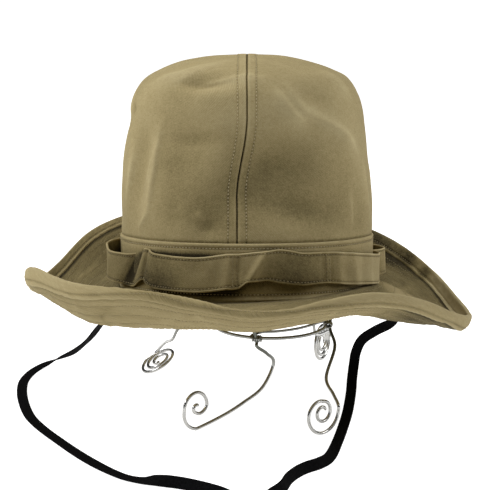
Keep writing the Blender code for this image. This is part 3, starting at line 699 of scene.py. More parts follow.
# Painted light and shade on the hem, above and below, by azimuth: paler where lit, darker where shaded
HEM_SHADES = (
    # azimuth, above, below
    (0.0, 2.4, 0.3),
    (12.0, 2.2, 0.0),
    (20.0, 1.6, 0.0),
    (25.0, 0.4, 0.0),
    (29.0, -2.0, 0.0),
    (32.0, -0.8, 0.0),
    (35.0, -2.2, 0.0),
    (40.0, -1.8, 0.0),
    (48.0, -2.6, 0.0),
    (60.0, -2.6, 0.0),
    (80.0, -1.4, 0.0),
    (130.0, -1.0, 0.0),
    (165.0, -0.8, 0.0),
    (185.0, 0.4, 0.7),
    (210.0, 0.2, 0.6),
    (235.0, 0.0, 0.2),
    (270.0, 0.0, 0.1),
    (300.0, 0.0, 0.2),
    (320.0, 0.2, 0.2),
    (340.0, 1.2, 0.2),
    (351.0, 2.0, 0.3),
)

# How the strap's tape is divided across, its thickness between its selvedges as a share, where they rise,
# how far they stand out, and the wave along them
STRAP_ACROSS = (-0.80, -0.66, -0.45, -0.15, 0.15, 0.45, 0.66, 0.80)
STRAP_THIN = 0.80
SELVEDGE_RISE = (0.55, 0.85)
SELVEDGE_PROUD = 0.0002
TAPE_WAVE = 0.00022
TAPE_WAVE_LENGTH = 0.016

# The floor's clearance, the sides of a wire and of a binding, the way that sets a wire's first side, its
# thickness at its last points, how its marks are stretched, how thick the ring's second strand is and how
# much painted shade darkens the ring, these four as shares
FLOOR_GAP = 0.0001
WIRE_SIDES = 14
BINDING_SIDES = 8
TUBE_START = (0.31, 0.17, 0.94)
TUBE_END = (0.55, 0.9)
MARKS_STRETCH = 0.25
STRAND_SHARE = 0.8
RING_PAINTED_SHADE = 0.6

# The camera
CAMERA_PLACE = (0.0, -1.05, 0.34)
CAMERA_PITCH = 11.9
SENSOR_WIDTH = 36.0
CAMERA_LENS = SENSOR_WIDTH * 1480.0 / 490.0
CAMERA_SHIFT = -2.0 / 490.0
CAMERA_END = 30.0

# The room: lights as name, place, size and power
FLOOR_SIZE = 8.0
FLOOR_TONE = 0.55
FLOOR_GLOW = 0.78
FLOOR_SHINE = 0.30
FLOOR_DULL = 0.32
ROOM_LIGHT = 0.03
BACKDROP_LIGHT = 1.1
WHITE = (1.0, 1.0, 1.0, 1.0)
LIGHT_AIM = (0.0, 0.0, 0.14)
LIGHTS = (
    ("light_left", (-1.10, -0.10, 1.10), 1.0, 18.5),
    ("light_right", (1.10, -0.10, 1.10), 1.0, 12.0),
    ("light_top", (0.00, 0.20, 1.60), 1.0, 7.0),
)

# Colours of the cloth, tape and wire, some of which also paint light and shade
KHAKI = (0.338, 0.272, 0.134)
# The pale khaki is both rubbed cloth and painted light on lit folds, lips and hem parts
KHAKI_WORN_AND_LIT = (0.455, 0.380, 0.212)
# The deep khaki is both darker dye and painted shade in dents, hollows and folds
KHAKI_DEEP = (0.220, 0.176, 0.080)
# The darkest khaki is painted shadow, under the loop strip and in its deep folds
KHAKI_PAINTED_SHADOW = (0.030, 0.023, 0.010)
THREAD = (0.520, 0.445, 0.275)
BRIM_THREAD = (0.330, 0.270, 0.145)
# How far the wear and the painted light and shade shift the cloth's tone
WEAR_AND_SHADING_SHARE = 0.17
BLACK = (0.0026, 0.0026, 0.0030)
SILVER = (0.88, 0.88, 0.86)
# Painted shade: the colour that darkens the wire under the hat
WIRE_PAINTED_SHADE = (0.26, 0.27, 0.24)


def unit(vectors):
    return vectors / np.maximum(np.linalg.norm(vectors, axis=-1, keepdims=True), 1e-12)


def smooth_step(low, high, value):
    share = np.clip((value - low) / (high - low), 0.0, 1.0)
    return share * share * (3.0 - 2.0 * share)


def between(span, value):
    """Rises from 0 to 1 between the first two of a span's four values, and falls between the last two."""
    return smooth_step(span[0], span[1], value) * smooth_step(span[3], span[2], value)


def bell(value, middle, width):
    """1 at the middle, falling off smoothly on both sides."""
    return np.exp(-(((value - middle) / width) ** 2))


def lines_at(rows, place):
    """The sum of a table's lines at this place across the cloth."""
    return sum(amount * bell(place, middle, width) for amount, middle, width in rows)


def turn_from(middle, azimuth):
    """How far an azimuth in radians lies from a middle in degrees, from -180 to 180 degrees."""
    return np.mod(np.degrees(azimuth) - middle + 180.0, 360.0) - 180.0


def spots_at(rows, azimuth, share):
    """The sum of a table's round spots at this place of the crown."""
    total = 0.0 * azimuth
    for middle, spread, height, height_spread, amount in rows:
        away = (turn_from(middle, azimuth) / spread) ** 2 + ((share - height) / height_spread) ** 2
        total = total + amount * np.exp(-away / 2)
    return total


def hermite(knots, share):
    """A smooth curve through the middle two of four (place, value) knots, at this share between them."""
    (p0, v0), (p1, v1), (p2, v2), (p3, v3) = knots
    slope_in = (v2 - v0) / (p2 - p0) * (p2 - p1)
    slope_out = (v3 - v1) / (p3 - p1) * (p2 - p1)
    s2, s3 = share * share, share * share * share
    return (
        (2 * s3 - 3 * s2 + 1) * v1
        + (s3 - 2 * s2 + share) * slope_in
        + (3 * s2 - 2 * s3) * v2
        + (s3 - s2) * slope_out
    )


def read_round(rows, azimuth):
    """All columns of a table whose first column is an azimuth in degrees, read smoothly all the way round
    at azimuths in radians, in an array of any shape."""
    azimuth = np.asarray(azimuth, float)
    table = np.array(rows)
    places, values = table[:, 0], table[:, 1:]
    turned = np.mod(np.degrees(azimuth).ravel(), 360.0)
    after = np.searchsorted(places, turned, side="right")
    knots = []
    for step in range(-2, 2):
        turn, row = np.divmod(after + step, len(places))
        knots.append(((places[row] + 360.0 * turn)[:, None], values[row]))
    share = (turned[:, None] - knots[1][0]) / (knots[2][0] - knots[1][0])
    return hermite(knots, share).reshape(*azimuth.shape, -1)


def columns_round(rows, azimuth):
    """The same, with an array for each column."""
    return np.moveaxis(read_round(rows, azimuth), -1, 0)


def smooth_line(points, step):
    """Points read from a smooth curve through the given ones, about one step apart."""
    points = np.asarray(points, dtype=float)
    padded = np.vstack([2 * points[0] - points[1], points, 2 * points[-1] - points[-2]])
    found = []
    for a, b, c, d in zip(padded, padded[1:], padded[2:], padded[3:]):
        count = max(1, round(np.linalg.norm((c - b)[:3]) / step))
        t = (np.arange(count) / count)[:, None]
        knots = ((-1.0, a), (0.0, b), (1.0, c), (2.0, d))
        found.append(hermite(knots, t))
    return np.vstack([*found, points[-1:]])


def lengths_along(path):
    """How far each point of a path lies from its start, along it."""
    steps = np.linalg.norm(np.diff(path, axis=0), axis=1)
    return np.concatenate([[0.0], np.cumsum(steps)])


def profile_table():
    """The crown's profile by length: share of its length, height and radius, and the length in metres."""
    rows = np.array(CROWN_PROFILE)
    below = (2 * rows[0][0] - rows[1][0], rows[0][1])
    above = (rows[-2][0], -rows[-2][1])
    padded = np.vstack([below, rows, above])
    place = np.linspace(0.0, len(rows) - 1.0, PROFILE_STEPS + 1)
    index = np.minimum(place.astype(int), len(rows) - 2)
    knots = [(k - 1.0, padded[index + k]) for k in range(4)]
    points = hermite(knots, (place - index)[:, None])
    lengths = lengths_along(points * (CROWN_HEIGHT, CROWN_WIDTH / 2))
    return lengths / lengths[-1], points[:, 0], points[:, 1], lengths[-1]


PROFILE_SHARES, PROFILE_HEIGHTS, PROFILE_RADII, PROFILE_LENGTH = profile_table()


def as_arrays(azimuth, place):
    """Both as arrays of one shape."""
    return np.broadcast_arrays(np.asarray(azimuth, float), np.asarray(place, float))


def plan_radius(azimuth):
    across = np.abs(np.cos(azimuth) / (CROWN_WIDTH / 2)) ** PLAN_POWER
    along = np.abs(np.sin(azimuth) / (CROWN_LENGTH / 2)) ** PLAN_POWER
    return (across + along) ** (-1.0 / PLAN_POWER)


def at_radius(azimuth, reach, height):
    return np.stack([reach * np.cos(azimuth), reach * np.sin(azimuth), height + 0.0 * azimuth], axis=-1)


def normals_of(surface, a, b):
    along = surface(a + NORMAL_STEP, b) - surface(a - NORMAL_STEP, b)
    across = surface(a, b + NORMAL_STEP) - surface(a, b - NORMAL_STEP)
    return unit(np.cross(along, across))


def crown_reach(azimuth, share):
    return plan_radius(azimuth) * np.interp(share, PROFILE_SHARES, PROFILE_RADII)


def smooth_crown(azimuth, share):
    height = np.interp(share, PROFILE_SHARES, PROFILE_HEIGHTS) * CROWN_HEIGHT
    return at_radius(azimuth, crown_reach(azimuth, share), height)


def dents_at(azimuth, share):
    depth = spots_at(CROWN_DENTS, azimuth, share)
    return DENT_DEPTH * depth * between((0.0, DENTS_ABOVE, DENTS_BELOW, 1.0), share)


def crown_surface(azimuth, share):
    """The crown's outer face, from its foot at share 0 to its top at share 1."""
    azimuth, share = as_arrays(azimuth, share)
    front = np.maximum(0.0, -np.sin(azimuth)) ** 2
    swayed = azimuth - SEAM_SWAY * front * smooth_step(SWAY_FROM, SWAY_TO, share)
    outward = normals_of(smooth_crown, swayed, np.minimum(share, CROWN_STEADY_FROM))
    pushed = dents_at(swayed, share) * smooth_step(1.0, CROWN_DENTED_TO, share)
    return smooth_crown(swayed, share) - outward * pushed[..., None]


def share_at_height(height):
    return np.interp(height, PROFILE_HEIGHTS * CROWN_HEIGHT, PROFILE_SHARES)


def band_surface(azimuth, height):
    """The band's outer face, a little proud of the crown's."""
    azimuth, height = as_arrays(azimuth, height)
    face = crown_surface(azimuth, share_at_height(np.maximum(0.0, height)))
    face = face + at_radius(azimuth, 1.0, 0.0) * BAND_PROUD
    face[..., 2] += np.minimum(0.0, height)
    return face


def loops_at(degrees):
    """How far the strip stands out from the band at these azimuths, and how far it sags."""
    rows = np.array(STRIP_LOOPS)
    starts = rows[:, 0]
    turned = np.mod(degrees - starts[0], 360.0) + starts[0]
    index = np.searchsorted(starts, turned, side="right") - 1
    ends = np.append(starts[1:], starts[0] + 360.0)
    along = (turned - starts[index]) / (ends[index] - starts[index])
    bulge = np.sin(np.pi * along ** (math.log(0.5) / np.log(rows[index, 2])))
    reach = LOOP_SLACK * rows[index, 1] * np.maximum(0.0, bulge) ** LOOP_SHARPNESS
    return reach, STRIP_WIDTH * rows[index, 3] * np.sin(np.pi * along)


def strip_surface(azimuth, up):
    """The loop strip's outer face, from its lower edge at 0 to its upper edge at 1."""
    azimuth, up = as_arrays(azimuth, up)
    stand_out, sag = loops_at(np.degrees(azimuth))
    lower, upper, flare, _ = columns_round(STRIP_EDGES, azimuth)
    height = STRIP_RISE - sag + STRIP_WIDTH * (up - 0.5) + MM * (lower * (1.0 - up) + upper * up)
    away = PIECE_GAP + STRIP_WALL + stand_out + MM * flare * (1.0 - up)
    return band_surface(azimuth, height) + at_radius(azimuth, 1.0, 0.0) * away[..., None]


def brim_surface(azimuth, share):
    """The brim's upper face, from the band's foot at 0 to its edge at 1."""
    azimuth, share = as_arrays(azimuth, share)
    shape = azimuth.shape
    azimuth, share = azimuth.ravel(), share.ravel()
    read = read_round(BRIM_STATIONS, azimuth) * BRIM_WIDTH
    lean = BRIM_WALL * np.maximum(0.0, -read[:, 1] / read[:, 0])
    foot = np.stack([BAND_PROUD - FOOT_TUCK + lean, MM * read_round(FOOT_RISES, azimuth)[:, 0]], axis=-1)
    middle, hem, edge = read[:, 0:2], read[:, 2:4], read[:, 4:6]
    before = np.stack([2 * foot[:, 0] - middle[:, 0], middle[:, 1]], axis=-1)
    knots = [before, foot, middle, hem, edge, 2 * edge - hem]
    half = HEM_START / 2
    places = [-half, 0.0, half, HEM_START, 1.0, 2.0 - HEM_START]
    run = np.zeros((len(azimuth), 2))
    stretches = (share <= half, (share > half) & (share <= HEM_START), share > HEM_START)
    for index, inside in enumerate(stretches):
        near = [(places[index + k], knots[index + k][inside]) for k in range(4)]
        part = (share[inside] - places[index + 1]) / (places[index + 2] - places[index + 1])
        run[inside] = hermite(near, part[:, None])
    rolled = np.clip((share - HEM_START) / (1.0 - HEM_START), 0.0, 1.0)[:, None]
    rolls = MM * read_round(HEM_ROLLS, azimuth)
    run -= rolls[:, :2] * rolled**HEM_ROLL_POWER + rolls[:, 2:] * np.sin(np.pi * rolled) * HEM_FULL_WAY
    return at_radius(azimuth, plan_radius(azimuth) + run[:, 0], run[:, 1]).reshape(*shape, 3)


def fold_lift(points, normals, folds, surface):
    """How far the folds of a table lift each of these points, in metres."""
    lift = np.zeros(len(points))
    for height, left_width, right_width, line in folds:
        places = np.array(line, dtype=float)
        path = smooth_line(surface(np.radians(places[:, 0]), places[:, 1]), FOLD_STEP)
        reach = FOLD_REACH * MM * max(left_width, right_width)
        near = np.all((points > path.min(axis=0) - reach) & (points < path.max(axis=0) + reach), axis=1)
        if not near.any():
            continue
        local, facing = points[near], normals[near]
        best = np.full(len(local), np.inf)
        along = np.zeros(len(local))
        side = np.zeros(len(local))
        for index, (a, b) in enumerate(zip(path, path[1:])):
            step = b - a
            share = np.clip(((local - a) @ step) / (step @ step), 0.0, 1.0)
            gap = local - (a + share[:, None] * step)
            distance = np.linalg.norm(gap, axis=1)
            closer = distance < best
            best = np.where(closer, distance, best)
            along = np.where(closer, (index + share) / (len(path) - 1), along)
            turn = np.einsum("ij,ij->i", np.cross(step, gap), facing)
            side = np.where(closer, turn, side)
        width = np.where(side > 0, left_width, right_width) * MM
        rounding = FOLD_ROUNDING * width
        fall = np.exp(-(np.sqrt(best**2 + rounding**2) - rounding) / (FOLD_FALL * width))
        lift[near] += MM * height * fall * between(FOLD_TAPER, along)
    return lift


def ripple(points, wavelength, seed):
    """Soft waves of about this wavelength, from -1 to 1."""
    draw = np.random.default_rng(seed)
    directions = unit(draw.normal(size=(RIPPLE_WAVES, 3)))
    lengths = wavelength * draw.uniform(*RIPPLE_SPREAD, RIPPLE_WAVES)
    phases = draw.uniform(0.0, 2 * np.pi, RIPPLE_WAVES)
    total = np.zeros(len(points))
    for direction, length, phase in zip(directions, lengths, phases):
        total += np.sin(2 * np.pi * (points @ direction) / length + phase)
    return total / math.sqrt(RIPPLE_WAVES) * RIPPLE_SHARE


def waves_at(rows, points):
    """The sum of a table's soft waves, in metres."""
    return sum(height * ripple(points, wavelength, seed) for height, wavelength, seed in rows)


def to_world(points):
    """Points of the hat's own frame where the hat sits on its stand."""
    lean, lift = math.cos(HAT_TILT), -math.sin(HAT_TILT)
    x, y, z = np.moveaxis(points, -1, 0)
    return np.stack([x, lean * y - lift * z, lift * y + lean * z], axis=-1) + (0.0, HAT_SHIFT, HAT_RISE)


def add_mesh(name, vertices, faces, look, attributes, merge=0.0):
    """A piece from its points and faces. Attributes are (name, values), a row of values for each vertex."""
    mesh = bpy.data.meshes.new(name)
    mesh.from_pydata(vertices.tolist(), [], faces)
    for label, values in attributes:
        kind, field = ("FLOAT_VECTOR", "vector") if values.ndim == 2 else ("FLOAT", "value")
        made = mesh.attributes.new(label, kind, "POINT")
        made.data.foreach_set(field, values.astype(np.float32).ravel())
    if merge:
        shape = bmesh.new()
        shape.from_mesh(mesh)
        bmesh.ops.remove_doubles(shape, verts=shape.verts, dist=merge)
        shape.to_mesh(mesh)
        shape.free()
    mesh.shade_smooth()
    mesh.materials.append(look)
    piece = bpy.data.objects.new(name, mesh)
    bpy.context.scene.collection.objects.link(piece)
    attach(piece, "root")
    return piece


def grid_faces(rows, columns, close_rows, close_columns):
    """Quads between neighbours of a grid of vertices, closed along either side or not."""
    index = np.arange(rows * columns).reshape(rows, columns)
    if close_rows:
        index = np.vstack([index, index[:1]])
    if close_columns:
        index = np.hstack([index, index[:, :1]])
    quads = np.stack([index[:-1, :-1], index[:-1, 1:], index[1:, 1:], index[1:, :-1]], axis=-1)
    return quads.reshape(-1, 4).tolist()


def add_node(tree, kind, constants=None, links=None, **settings):
    """A shader node with its settings, and with its inputs' constants and links, by name or number."""
    node = tree.nodes.new("ShaderNode" + kind)
    for name, value in settings.items():
        setattr(node, name, value)
    for socket, value in (constants or {}).items():
        node.inputs[socket].default_value = value
    for socket, output in (links or {}).items():
        tree.links.new(output, node.inputs[socket])
    return node


def new_look(name, constants):
    """A material whose shader has these constants, with its node tree and the coordinates of its weave."""
    look = bpy.data.materials.new(name)
    look.use_nodes = True
    for socket, value in constants.items():
        look.node_tree.nodes["Principled BSDF"].inputs[socket].default_value = value
    return look, look.node_tree, attribute_of(look.node_tree, "cloth", "Vector")


def feed_shader(tree, **outputs):
    """Joins outputs to the shader's inputs. An underscore stands for a space in an input's name."""
    for socket, output in outputs.items():
        tree.links.new(output, tree.nodes["Principled BSDF"].inputs[socket.replace("_", " ")])


def attribute_of(tree, name, output):
    return add_node(tree, "Attribute", attribute_name=name).outputs[output]


def bands(tree, weave, direction, **constants):
    """Even bands across the weave's coordinates. An underscore stands for a space in an input's name."""
    named = {name.replace("_", " "): value for name, value in constants.items()}
    made = add_node(tree, "TexWave", named, {"Vector": weave}, wave_type="BANDS", bands_direction=direction)
    return made.outputs["Fac"]


def noise(tree, weave, scale, detail, roughness=0.5):
    constants = {"Scale": scale, "Detail": detail, "Roughness": roughness}
    return add_node(tree, "TexNoise", constants, {"Vector": weave}).outputs["Fac"]


def tones(tree, source, *stops):
    """Colours by a value, from (place, colour) stops in order."""
    node = add_node(tree, "ValToRGB", links={"Fac": source})
    elements = node.color_ramp.elements
    for element, (place, colour) in ((elements[0], stops[0]), (elements[1], stops[-1])):
        element.position, element.color = place, (*colour, 1.0)
    for place, colour in stops[1:-1]:
        elements.new(place).color = (*colour, 1.0)
    return node.outputs["Color"]


def bump(tree, height, strength, distance, under=None):
    """A bump of this pattern, on top of another one where there is one."""
    links = {"Height": height}
    if under is not None:
        links["Normal"] = under
    return add_node(tree, "Bump", {"Strength": strength, "Distance": distance}, links).outputs["Normal"]


def scaled(colour, factor):
    return tuple(factor * part for part in colour)


def cloth_look(name, base, worn_and_lit, deep, dark):
    """Cotton twill: fine diagonal ribs, uneven dye, paler cloth where it is rubbed, and painted light and
    shade that shift its tone, down to a painted shadow colour.
    """
    look, tree, weave = new_look(name, {
        "Roughness": 0.88,
        "Specular IOR Level": 0.10,
        "Sheen Weight": 0.04,
        "Sheen Roughness": 0.55,
        "Sheen Tint": (0.95, 0.88, 0.70, 1.0),
    })
    # This attribute holds both wear and painted light and shade
    wear_and_painted_shading = attribute_of(tree, "wear_and_painted_shading", "Fac")
    twill = bands(tree, weave, "DIAGONAL", Scale=TWILL_SCALE, Distortion=0.6, Detail=1.0, Detail_Scale=0.4)
    slub = noise(tree, weave, 950.0, 2.0)
    dye = noise(tree, weave, 26.0, 5.0, 0.62)
    mottle = noise(tree, weave, 300.0, 3.0)

    # The tone is a sum of the patterns and of the wear and painted light and shade, about the middle of the
    # range of colours.
    patterns = ((dye, 0.34), (mottle, 0.20), (slub, 0.34), (twill, 0.16))
    middle = 0.5 - 0.5 * sum(share for _, share in patterns)
    links = {}
    for source, share in (*patterns, (wear_and_painted_shading, WEAR_AND_SHADING_SHARE)):
        links[0] = source
        added = add_node(tree, "Math", {1: share, 2: middle}, links, operation="MULTIPLY_ADD")
        links[2] = added.outputs[0]
    # The darkest stop is painted shadow, the deep one both darker dye and painted shade, the palest both wear
    # and painted light
    colour = tones(tree, links[2], (0.02, dark), (0.30, deep), (0.50, base), (0.76, worn_and_lit))
    ribs = bump(tree, twill, 0.55, 0.00012)
    yarn = bump(tree, slub, 0.5, 0.0002, ribs)
    feed_shader(tree, Base_Color=colour, Normal=yarn)
    return look


def thread_look(name, colour, dark):
    """Sewing thread, with a two-ply twist along it."""
    look, tree, weave = new_look(name, {"Roughness": 0.62, "Specular IOR Level": 0.3})
    ply = bands(tree, weave, "DIAGONAL", Scale=520.0)
    twisted = tones(tree, ply, (0.0, dark), (1.0, colour))
    feed_shader(tree, Base_Color=twisted, Normal=bump(tree, ply, 0.6, 0.00008))
    return look


def tape_look(name, colour):
    """Matt black woven tape: ribs across it and along it, and a little lint."""
    look, tree, weave = new_look(name, {"Roughness": 0.85, "Specular IOR Level": 0.07})
    across = bands(tree, weave, "X", Scale=420.0)
    lengthways = bands(tree, weave, "Y", Scale=330.0)
    woven = add_node(tree, "Math", None, {0: across, 1: lengthways}, operation="MAXIMUM").outputs[0]
    lint = noise(tree, weave, 600.0, 3.0)
    dusty = tones(tree, lint, (0.35, scaled(colour, 0.55)), (0.85, scaled(colour, 2.2)))
    feed_shader(tree, Base_Color=dusty, Normal=bump(tree, woven, 0.7, 0.00015))
    return look


def wire_look(name, colour, painted_shade):
    """Bright drawn wire, with faint draw marks along it, a few dull spots, and painted shade that darkens
    it under the hat.
    """
    look, tree, weave = new_look(name, {"Metallic": 1.0})
    marks = noise(tree, weave, 260.0, 3.0)
    gloss = add_node(tree, "MapRange", {"To Min": 0.14, "To Max": 0.34}, {"Value": marks})
    bright = tones(tree, marks, (0.3, scaled(colour, 0.72)), (0.6, colour))
    # The node's sixth and seventh inputs and its second output are the ones for colours.
    # Painted shade: the attribute darkens the wire towards the shade colour
    links = {0: attribute_of(tree, "wear_and_painted_shading", "Fac"), 6: bright}
    painted_shade_mix = add_node(tree, "Mix", {7: (*painted_shade, 1.0)}, links, data_type="RGBA", blend_type="MULTIPLY")
    drawn = bump(tree, marks, 0.15, 0.00005)
    feed_shader(tree, Base_Color=painted_shade_mix.outputs[2], Roughness=gloss.outputs["Result"], Normal=drawn)
    return look


def closed_section(low, high, top, bottom, rows, inner_rows, per_metre, round_low=True):
    """A sheet's closed cross-section, as (place, offset) pairs: along its outer face, round its far edge,
    back along its inner face and round its near edge. Top and bottom give the offsets of the faces."""

    def edge(place, ahead):
        start, end = top(place), bottom(place)
        radius = (start - end) / 2
        found = []
        for step in range(EDGE_STEPS + 1):
            turn = math.pi * (0.5 - step / EDGE_STEPS)
            reach = place - ahead * radius * per_metre * (1.0 - math.cos(turn))
            found.append((reach, (start + end) / 2 + radius * math.sin(turn)))
        return found

    margin = (top(high) - bottom(high)) / 2 * per_metre * EDGE_MARGIN
    outer = [(place, top(place)) for place in rows if low + margin < place < high - margin]
    inner = [(place, bottom(place)) for place in inner_rows if low + margin < place < high - margin]
    near = edge(low, -1) if round_low else [(low, top(low)), (low, bottom(low))]
    return [*outer, *edge(high, 1), *reversed(inner), *reversed(near)]


def cloth_piece(name, surface, section, turns, look, node, coordinates, edges, lift, folds=(), facing=1.0,
                merge=0.0, stride=0):
    """A sheet of cloth in place of a node: its cross-section swept round, with its weave's own coordinates
    and its tone from rubbing and from painted light and shade. With a stride it has two cut ends, and
    otherwise it goes all the way round."""
    places, offsets = np.array(section).T
    a, b = np.meshgrid(turns, places)
    face = surface(a, b).reshape(-1, 3)
    normals = normals_of(surface, a, b).reshape(-1, 3) * facing
    a, b = a.ravel(), b.ravel()
    raised = fold_lift(face, normals, folds, surface)
    rows, columns = len(section), len(turns)
    height = raised + lift(a, b, face)
    points = face + normals * (height + np.repeat(offsets, columns))[:, None]
    faces = grid_faces(rows, columns, not stride, not stride)
    if stride:
        foot = grid_faces(rows, columns, True, False)[(rows - 1) * (columns - 1):]
        faces += foot + end_caps(rows, columns, stride)
    u, v = coordinates(a, b)
    cloth = np.stack([u, v, np.zeros_like(u)], axis=-1)
    outside = np.repeat(offsets > -0.5 * BAND_WALL, columns)
    # Painted light and shade from the folds: raised crests paler, partly wear and partly painted highlight,
    # furrows darker with painted shade
    fold_tone = np.clip(raised / FOLD_TONE_LIFT, *FOLD_TONE_LIMITS)
    # The edges function adds the piece's own wear and its painted light and shade
    wear_and_painted_shading = np.clip(fold_tone + edges(a, b, outside), *WEAR_AND_SHADING_LIMITS)
    attributes = (("cloth", cloth), ("wear_and_painted_shading", wear_and_painted_shading))
    piece = add_mesh(name, to_world(points), faces, look, attributes, merge)
    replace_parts(piece, node)


def end_caps(rows, columns, stride):
    """Faces that close a swept sheet at its first and last column. The inner face has one row for every few
    of the outer face's, and its rows follow them in the other direction."""
    steps = (rows - 2) // (stride + 1)
    found = []
    for step in range(steps):
        outer = range(step * stride, (step + 1) * stride + 1)
        ring = [*outer, rows - 2 - step, rows - 1 - step]
        found.append([row * columns for row in ring])
        found.append([row * columns + columns - 1 for row in reversed(ring)])
    return found


def stitch_faces(sides, rings):
    """A stitch's faces. Its first and last points are its tips, with its rings of points between them. A
    tip's faces have three corners, written with one corner twice."""
    last = 1 + (rings - 1) * sides
    found = []
    for k in range(sides):
        after = (k + 1) % sides
        found.append((0, 1 + after, 1 + k, 1 + k))
        for ring in range(rings - 1):
            here, there = 1 + ring * sides, 1 + (ring + 1) * sides
            found.append((here + k, here + after, there + after, there + k))
        found.append((last + k, last + after, last + sides, last + sides))
    return np.array(found)


def stitches(name, paths, look, sides=5, rings=(-0.62, 0.0, 0.62)):
    """Rows of sewn stitches. Each path has points of the cloth's face and normals there, in world space."""
    vertices, faces, cloth = [], [], []
    count = 0
    per = len(rings) * sides + 2
    template = stitch_faces(sides, len(rings))
    half = STITCH_LENGTH / 2
    for points, normals in paths:
        lengths = lengths_along(points)
        total = max(2, int(lengths[-1] / STITCH_PITCH))
        middles = (np.arange(total) + 0.5) * lengths[-1] / total

        def at(values, where):
            return np.stack([np.interp(where, lengths, column) for column in values.T], axis=-1)

        centre = at(points, middles)
        up = unit(at(normals, middles))
        ahead = unit(at(points, middles + STITCH_PITCH / 3) - at(points, middles - STITCH_PITCH / 3))
        aside = unit(np.cross(ahead, up))
        up = np.cross(aside, ahead)
        tip = up * THREAD_RADIUS * STITCH_TIP_SINK
        blocks = [centre - ahead * half - tip]
        for ring in rings:
            belly = STITCH_THIN + (1.0 - STITCH_THIN) * math.sqrt(1.0 - ring * ring)
            for k in range(sides):
                turn = 2 * math.pi * (k + 0.5) / sides
                out = aside * math.cos(turn) + up * (math.sin(turn) + STITCH_RISE)
                blocks.append(centre + ahead * half * ring + out * THREAD_RADIUS * belly)
        blocks.append(centre + ahead * half - tip)
        vertices.append(np.stack(blocks, axis=1).reshape(-1, 3))
        starts = count + np.arange(total) * per
        faces.append((template[None, :, ::-1] + starts[:, None, None]).reshape(-1, 4))
        along = np.repeat(middles, per) + np.tile(np.linspace(0, STITCH_TWIST, per), total)
        cloth.append(np.stack([along, along * 0.0, along * 0.0], axis=-1))
        count += total * per
    corners = [tuple(dict.fromkeys(face)) for face in np.vstack(faces).tolist()]
    add_mesh(name, np.vstack(vertices), corners, look, (("cloth", np.vstack(cloth)),))


def place_camera():
    """The photograph's view: a little above the hat, looking slightly down."""
    data = bpy.data.cameras.new("camera")
    data.sensor_width = SENSOR_WIDTH
    data.lens = CAMERA_LENS
    data.shift_x = CAMERA_SHIFT
    data.clip_end = CAMERA_END
    camera = bpy.data.objects.new("camera", data)
    camera.location = CAMERA_PLACE
    camera.rotation_euler = (math.radians(90.0 - CAMERA_PITCH), 0.0, 0.0)
    bpy.context.scene.collection.objects.link(camera)
    bpy.context.scene.camera = camera


def towards(azimuth, elevation=0.0):
    """Directions at these azimuths and elevations, in degrees."""
    turn, lift = np.radians(azimuth), np.radians(elevation)
    return np.stack([np.cos(lift) * np.cos(turn), np.cos(lift) * np.sin(turn), np.sin(lift)], axis=-1)


def strap_lines():
    """The strap's middle line and the direction that its flat side faces, at small even steps."""
    rows = np.array(STRAP_ROUTE)
    facings = towards(rows[:, 3], rows[:, 4])
    both = smooth_line(np.hstack([rows[:, :3], facings]), STRAP_STEP)
    return both[:, :3], unit(both[:, 3:])


def strap_outline():
    """The tape's cross-section, with two thicker selvedges and rounded edges."""
    half, rim = STRAP_WIDTH / 2, STRAP_THICKNESS / 2
    outline = []
    for share in STRAP_ACROSS:
        thick = STRAP_THIN + (1.0 - STRAP_THIN) * smooth_step(*SELVEDGE_RISE, abs(share))
        outline.append((share * half, rim * thick))
    for step in range(1, EDGE_STEPS):
        turn = math.pi * (0.5 - step / EDGE_STEPS)
        outline.append((half - rim + rim * math.cos(turn) + SELVEDGE_PROUD, rim * math.sin(turn)))
    return outline + [(-x, -y) for x, y in outline]


def add_strap(look):
    """The chin strap, a flat woven tape."""
    middle, facing = strap_lines()
    ahead = unit(np.gradient(middle, axis=0))
    across = unit(np.cross(ahead, facing))
    thick = np.cross(across, ahead)
    outline = strap_outline()
    half = STRAP_WIDTH / 2
    rings, count = len(middle), len(outline)
    wave = TAPE_WAVE * np.sin(np.arange(rings) * STRAP_STEP / TAPE_WAVE_LENGTH)
    blocks = [middle + across * x + thick * (y + wave * (x / half) ** 2)[:, None] for x, y in outline]
    points = np.stack(blocks, axis=1)
    points[..., 2] = np.maximum(points[..., 2], FLOOR_GAP)
    faces = grid_faces(rings, count, False, True)
    faces += [tuple(reversed(range(count))), tuple((rings - 1) * count + k for k in range(count))]
    along = np.repeat(np.arange(rings) * STRAP_STEP, count)
    side = np.tile([x for x, _ in outline], rings)
    cloth = np.stack([along, side, 0.0 * side], axis=-1)
    strap = add_mesh("chin_strap_tape", points.reshape(-1, 3), faces, look, (("cloth", cloth),))
    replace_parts(strap, "chin_strap")


def crown_share_rows(start):
    """Places of the crown's rows, closer together just above the band. Their number is one more than a
    multiple of the crown's stride."""
    close = start + np.array(CROWN_FOOT_ROWS) / PROFILE_LENGTH
    count = CROWN_ROWS * CROWN_STRIDE + 1 - len(close)
    first = start + CROWN_FOOT_ROWS[-1] * 1.5 / PROFILE_LENGTH
    return np.concatenate([close, np.linspace(first, 1.0, count)])


def seam_turns(side):
    """Azimuths of a panel's columns from its front seam to its back one, closest beside the seams."""
    close = np.array(SEAM_COLUMNS) / (CROWN_LENGTH / 2)
    plain = np.arange(close[-1] + PANEL_FIRST, math.pi / 2, PANEL_STEP)
    quarter = np.concatenate([close, plain])
    turns = np.concatenate([quarter, (math.pi - quarter)[::-1]]) - math.pi / 2
    return turns if side > 0 else turns + math.pi


def seam_distance(azimuth, share):
    """How far a point of the crown lies from the seam that runs over its top."""
    return np.abs(crown_reach(azimuth, share) * np.cos(azimuth))


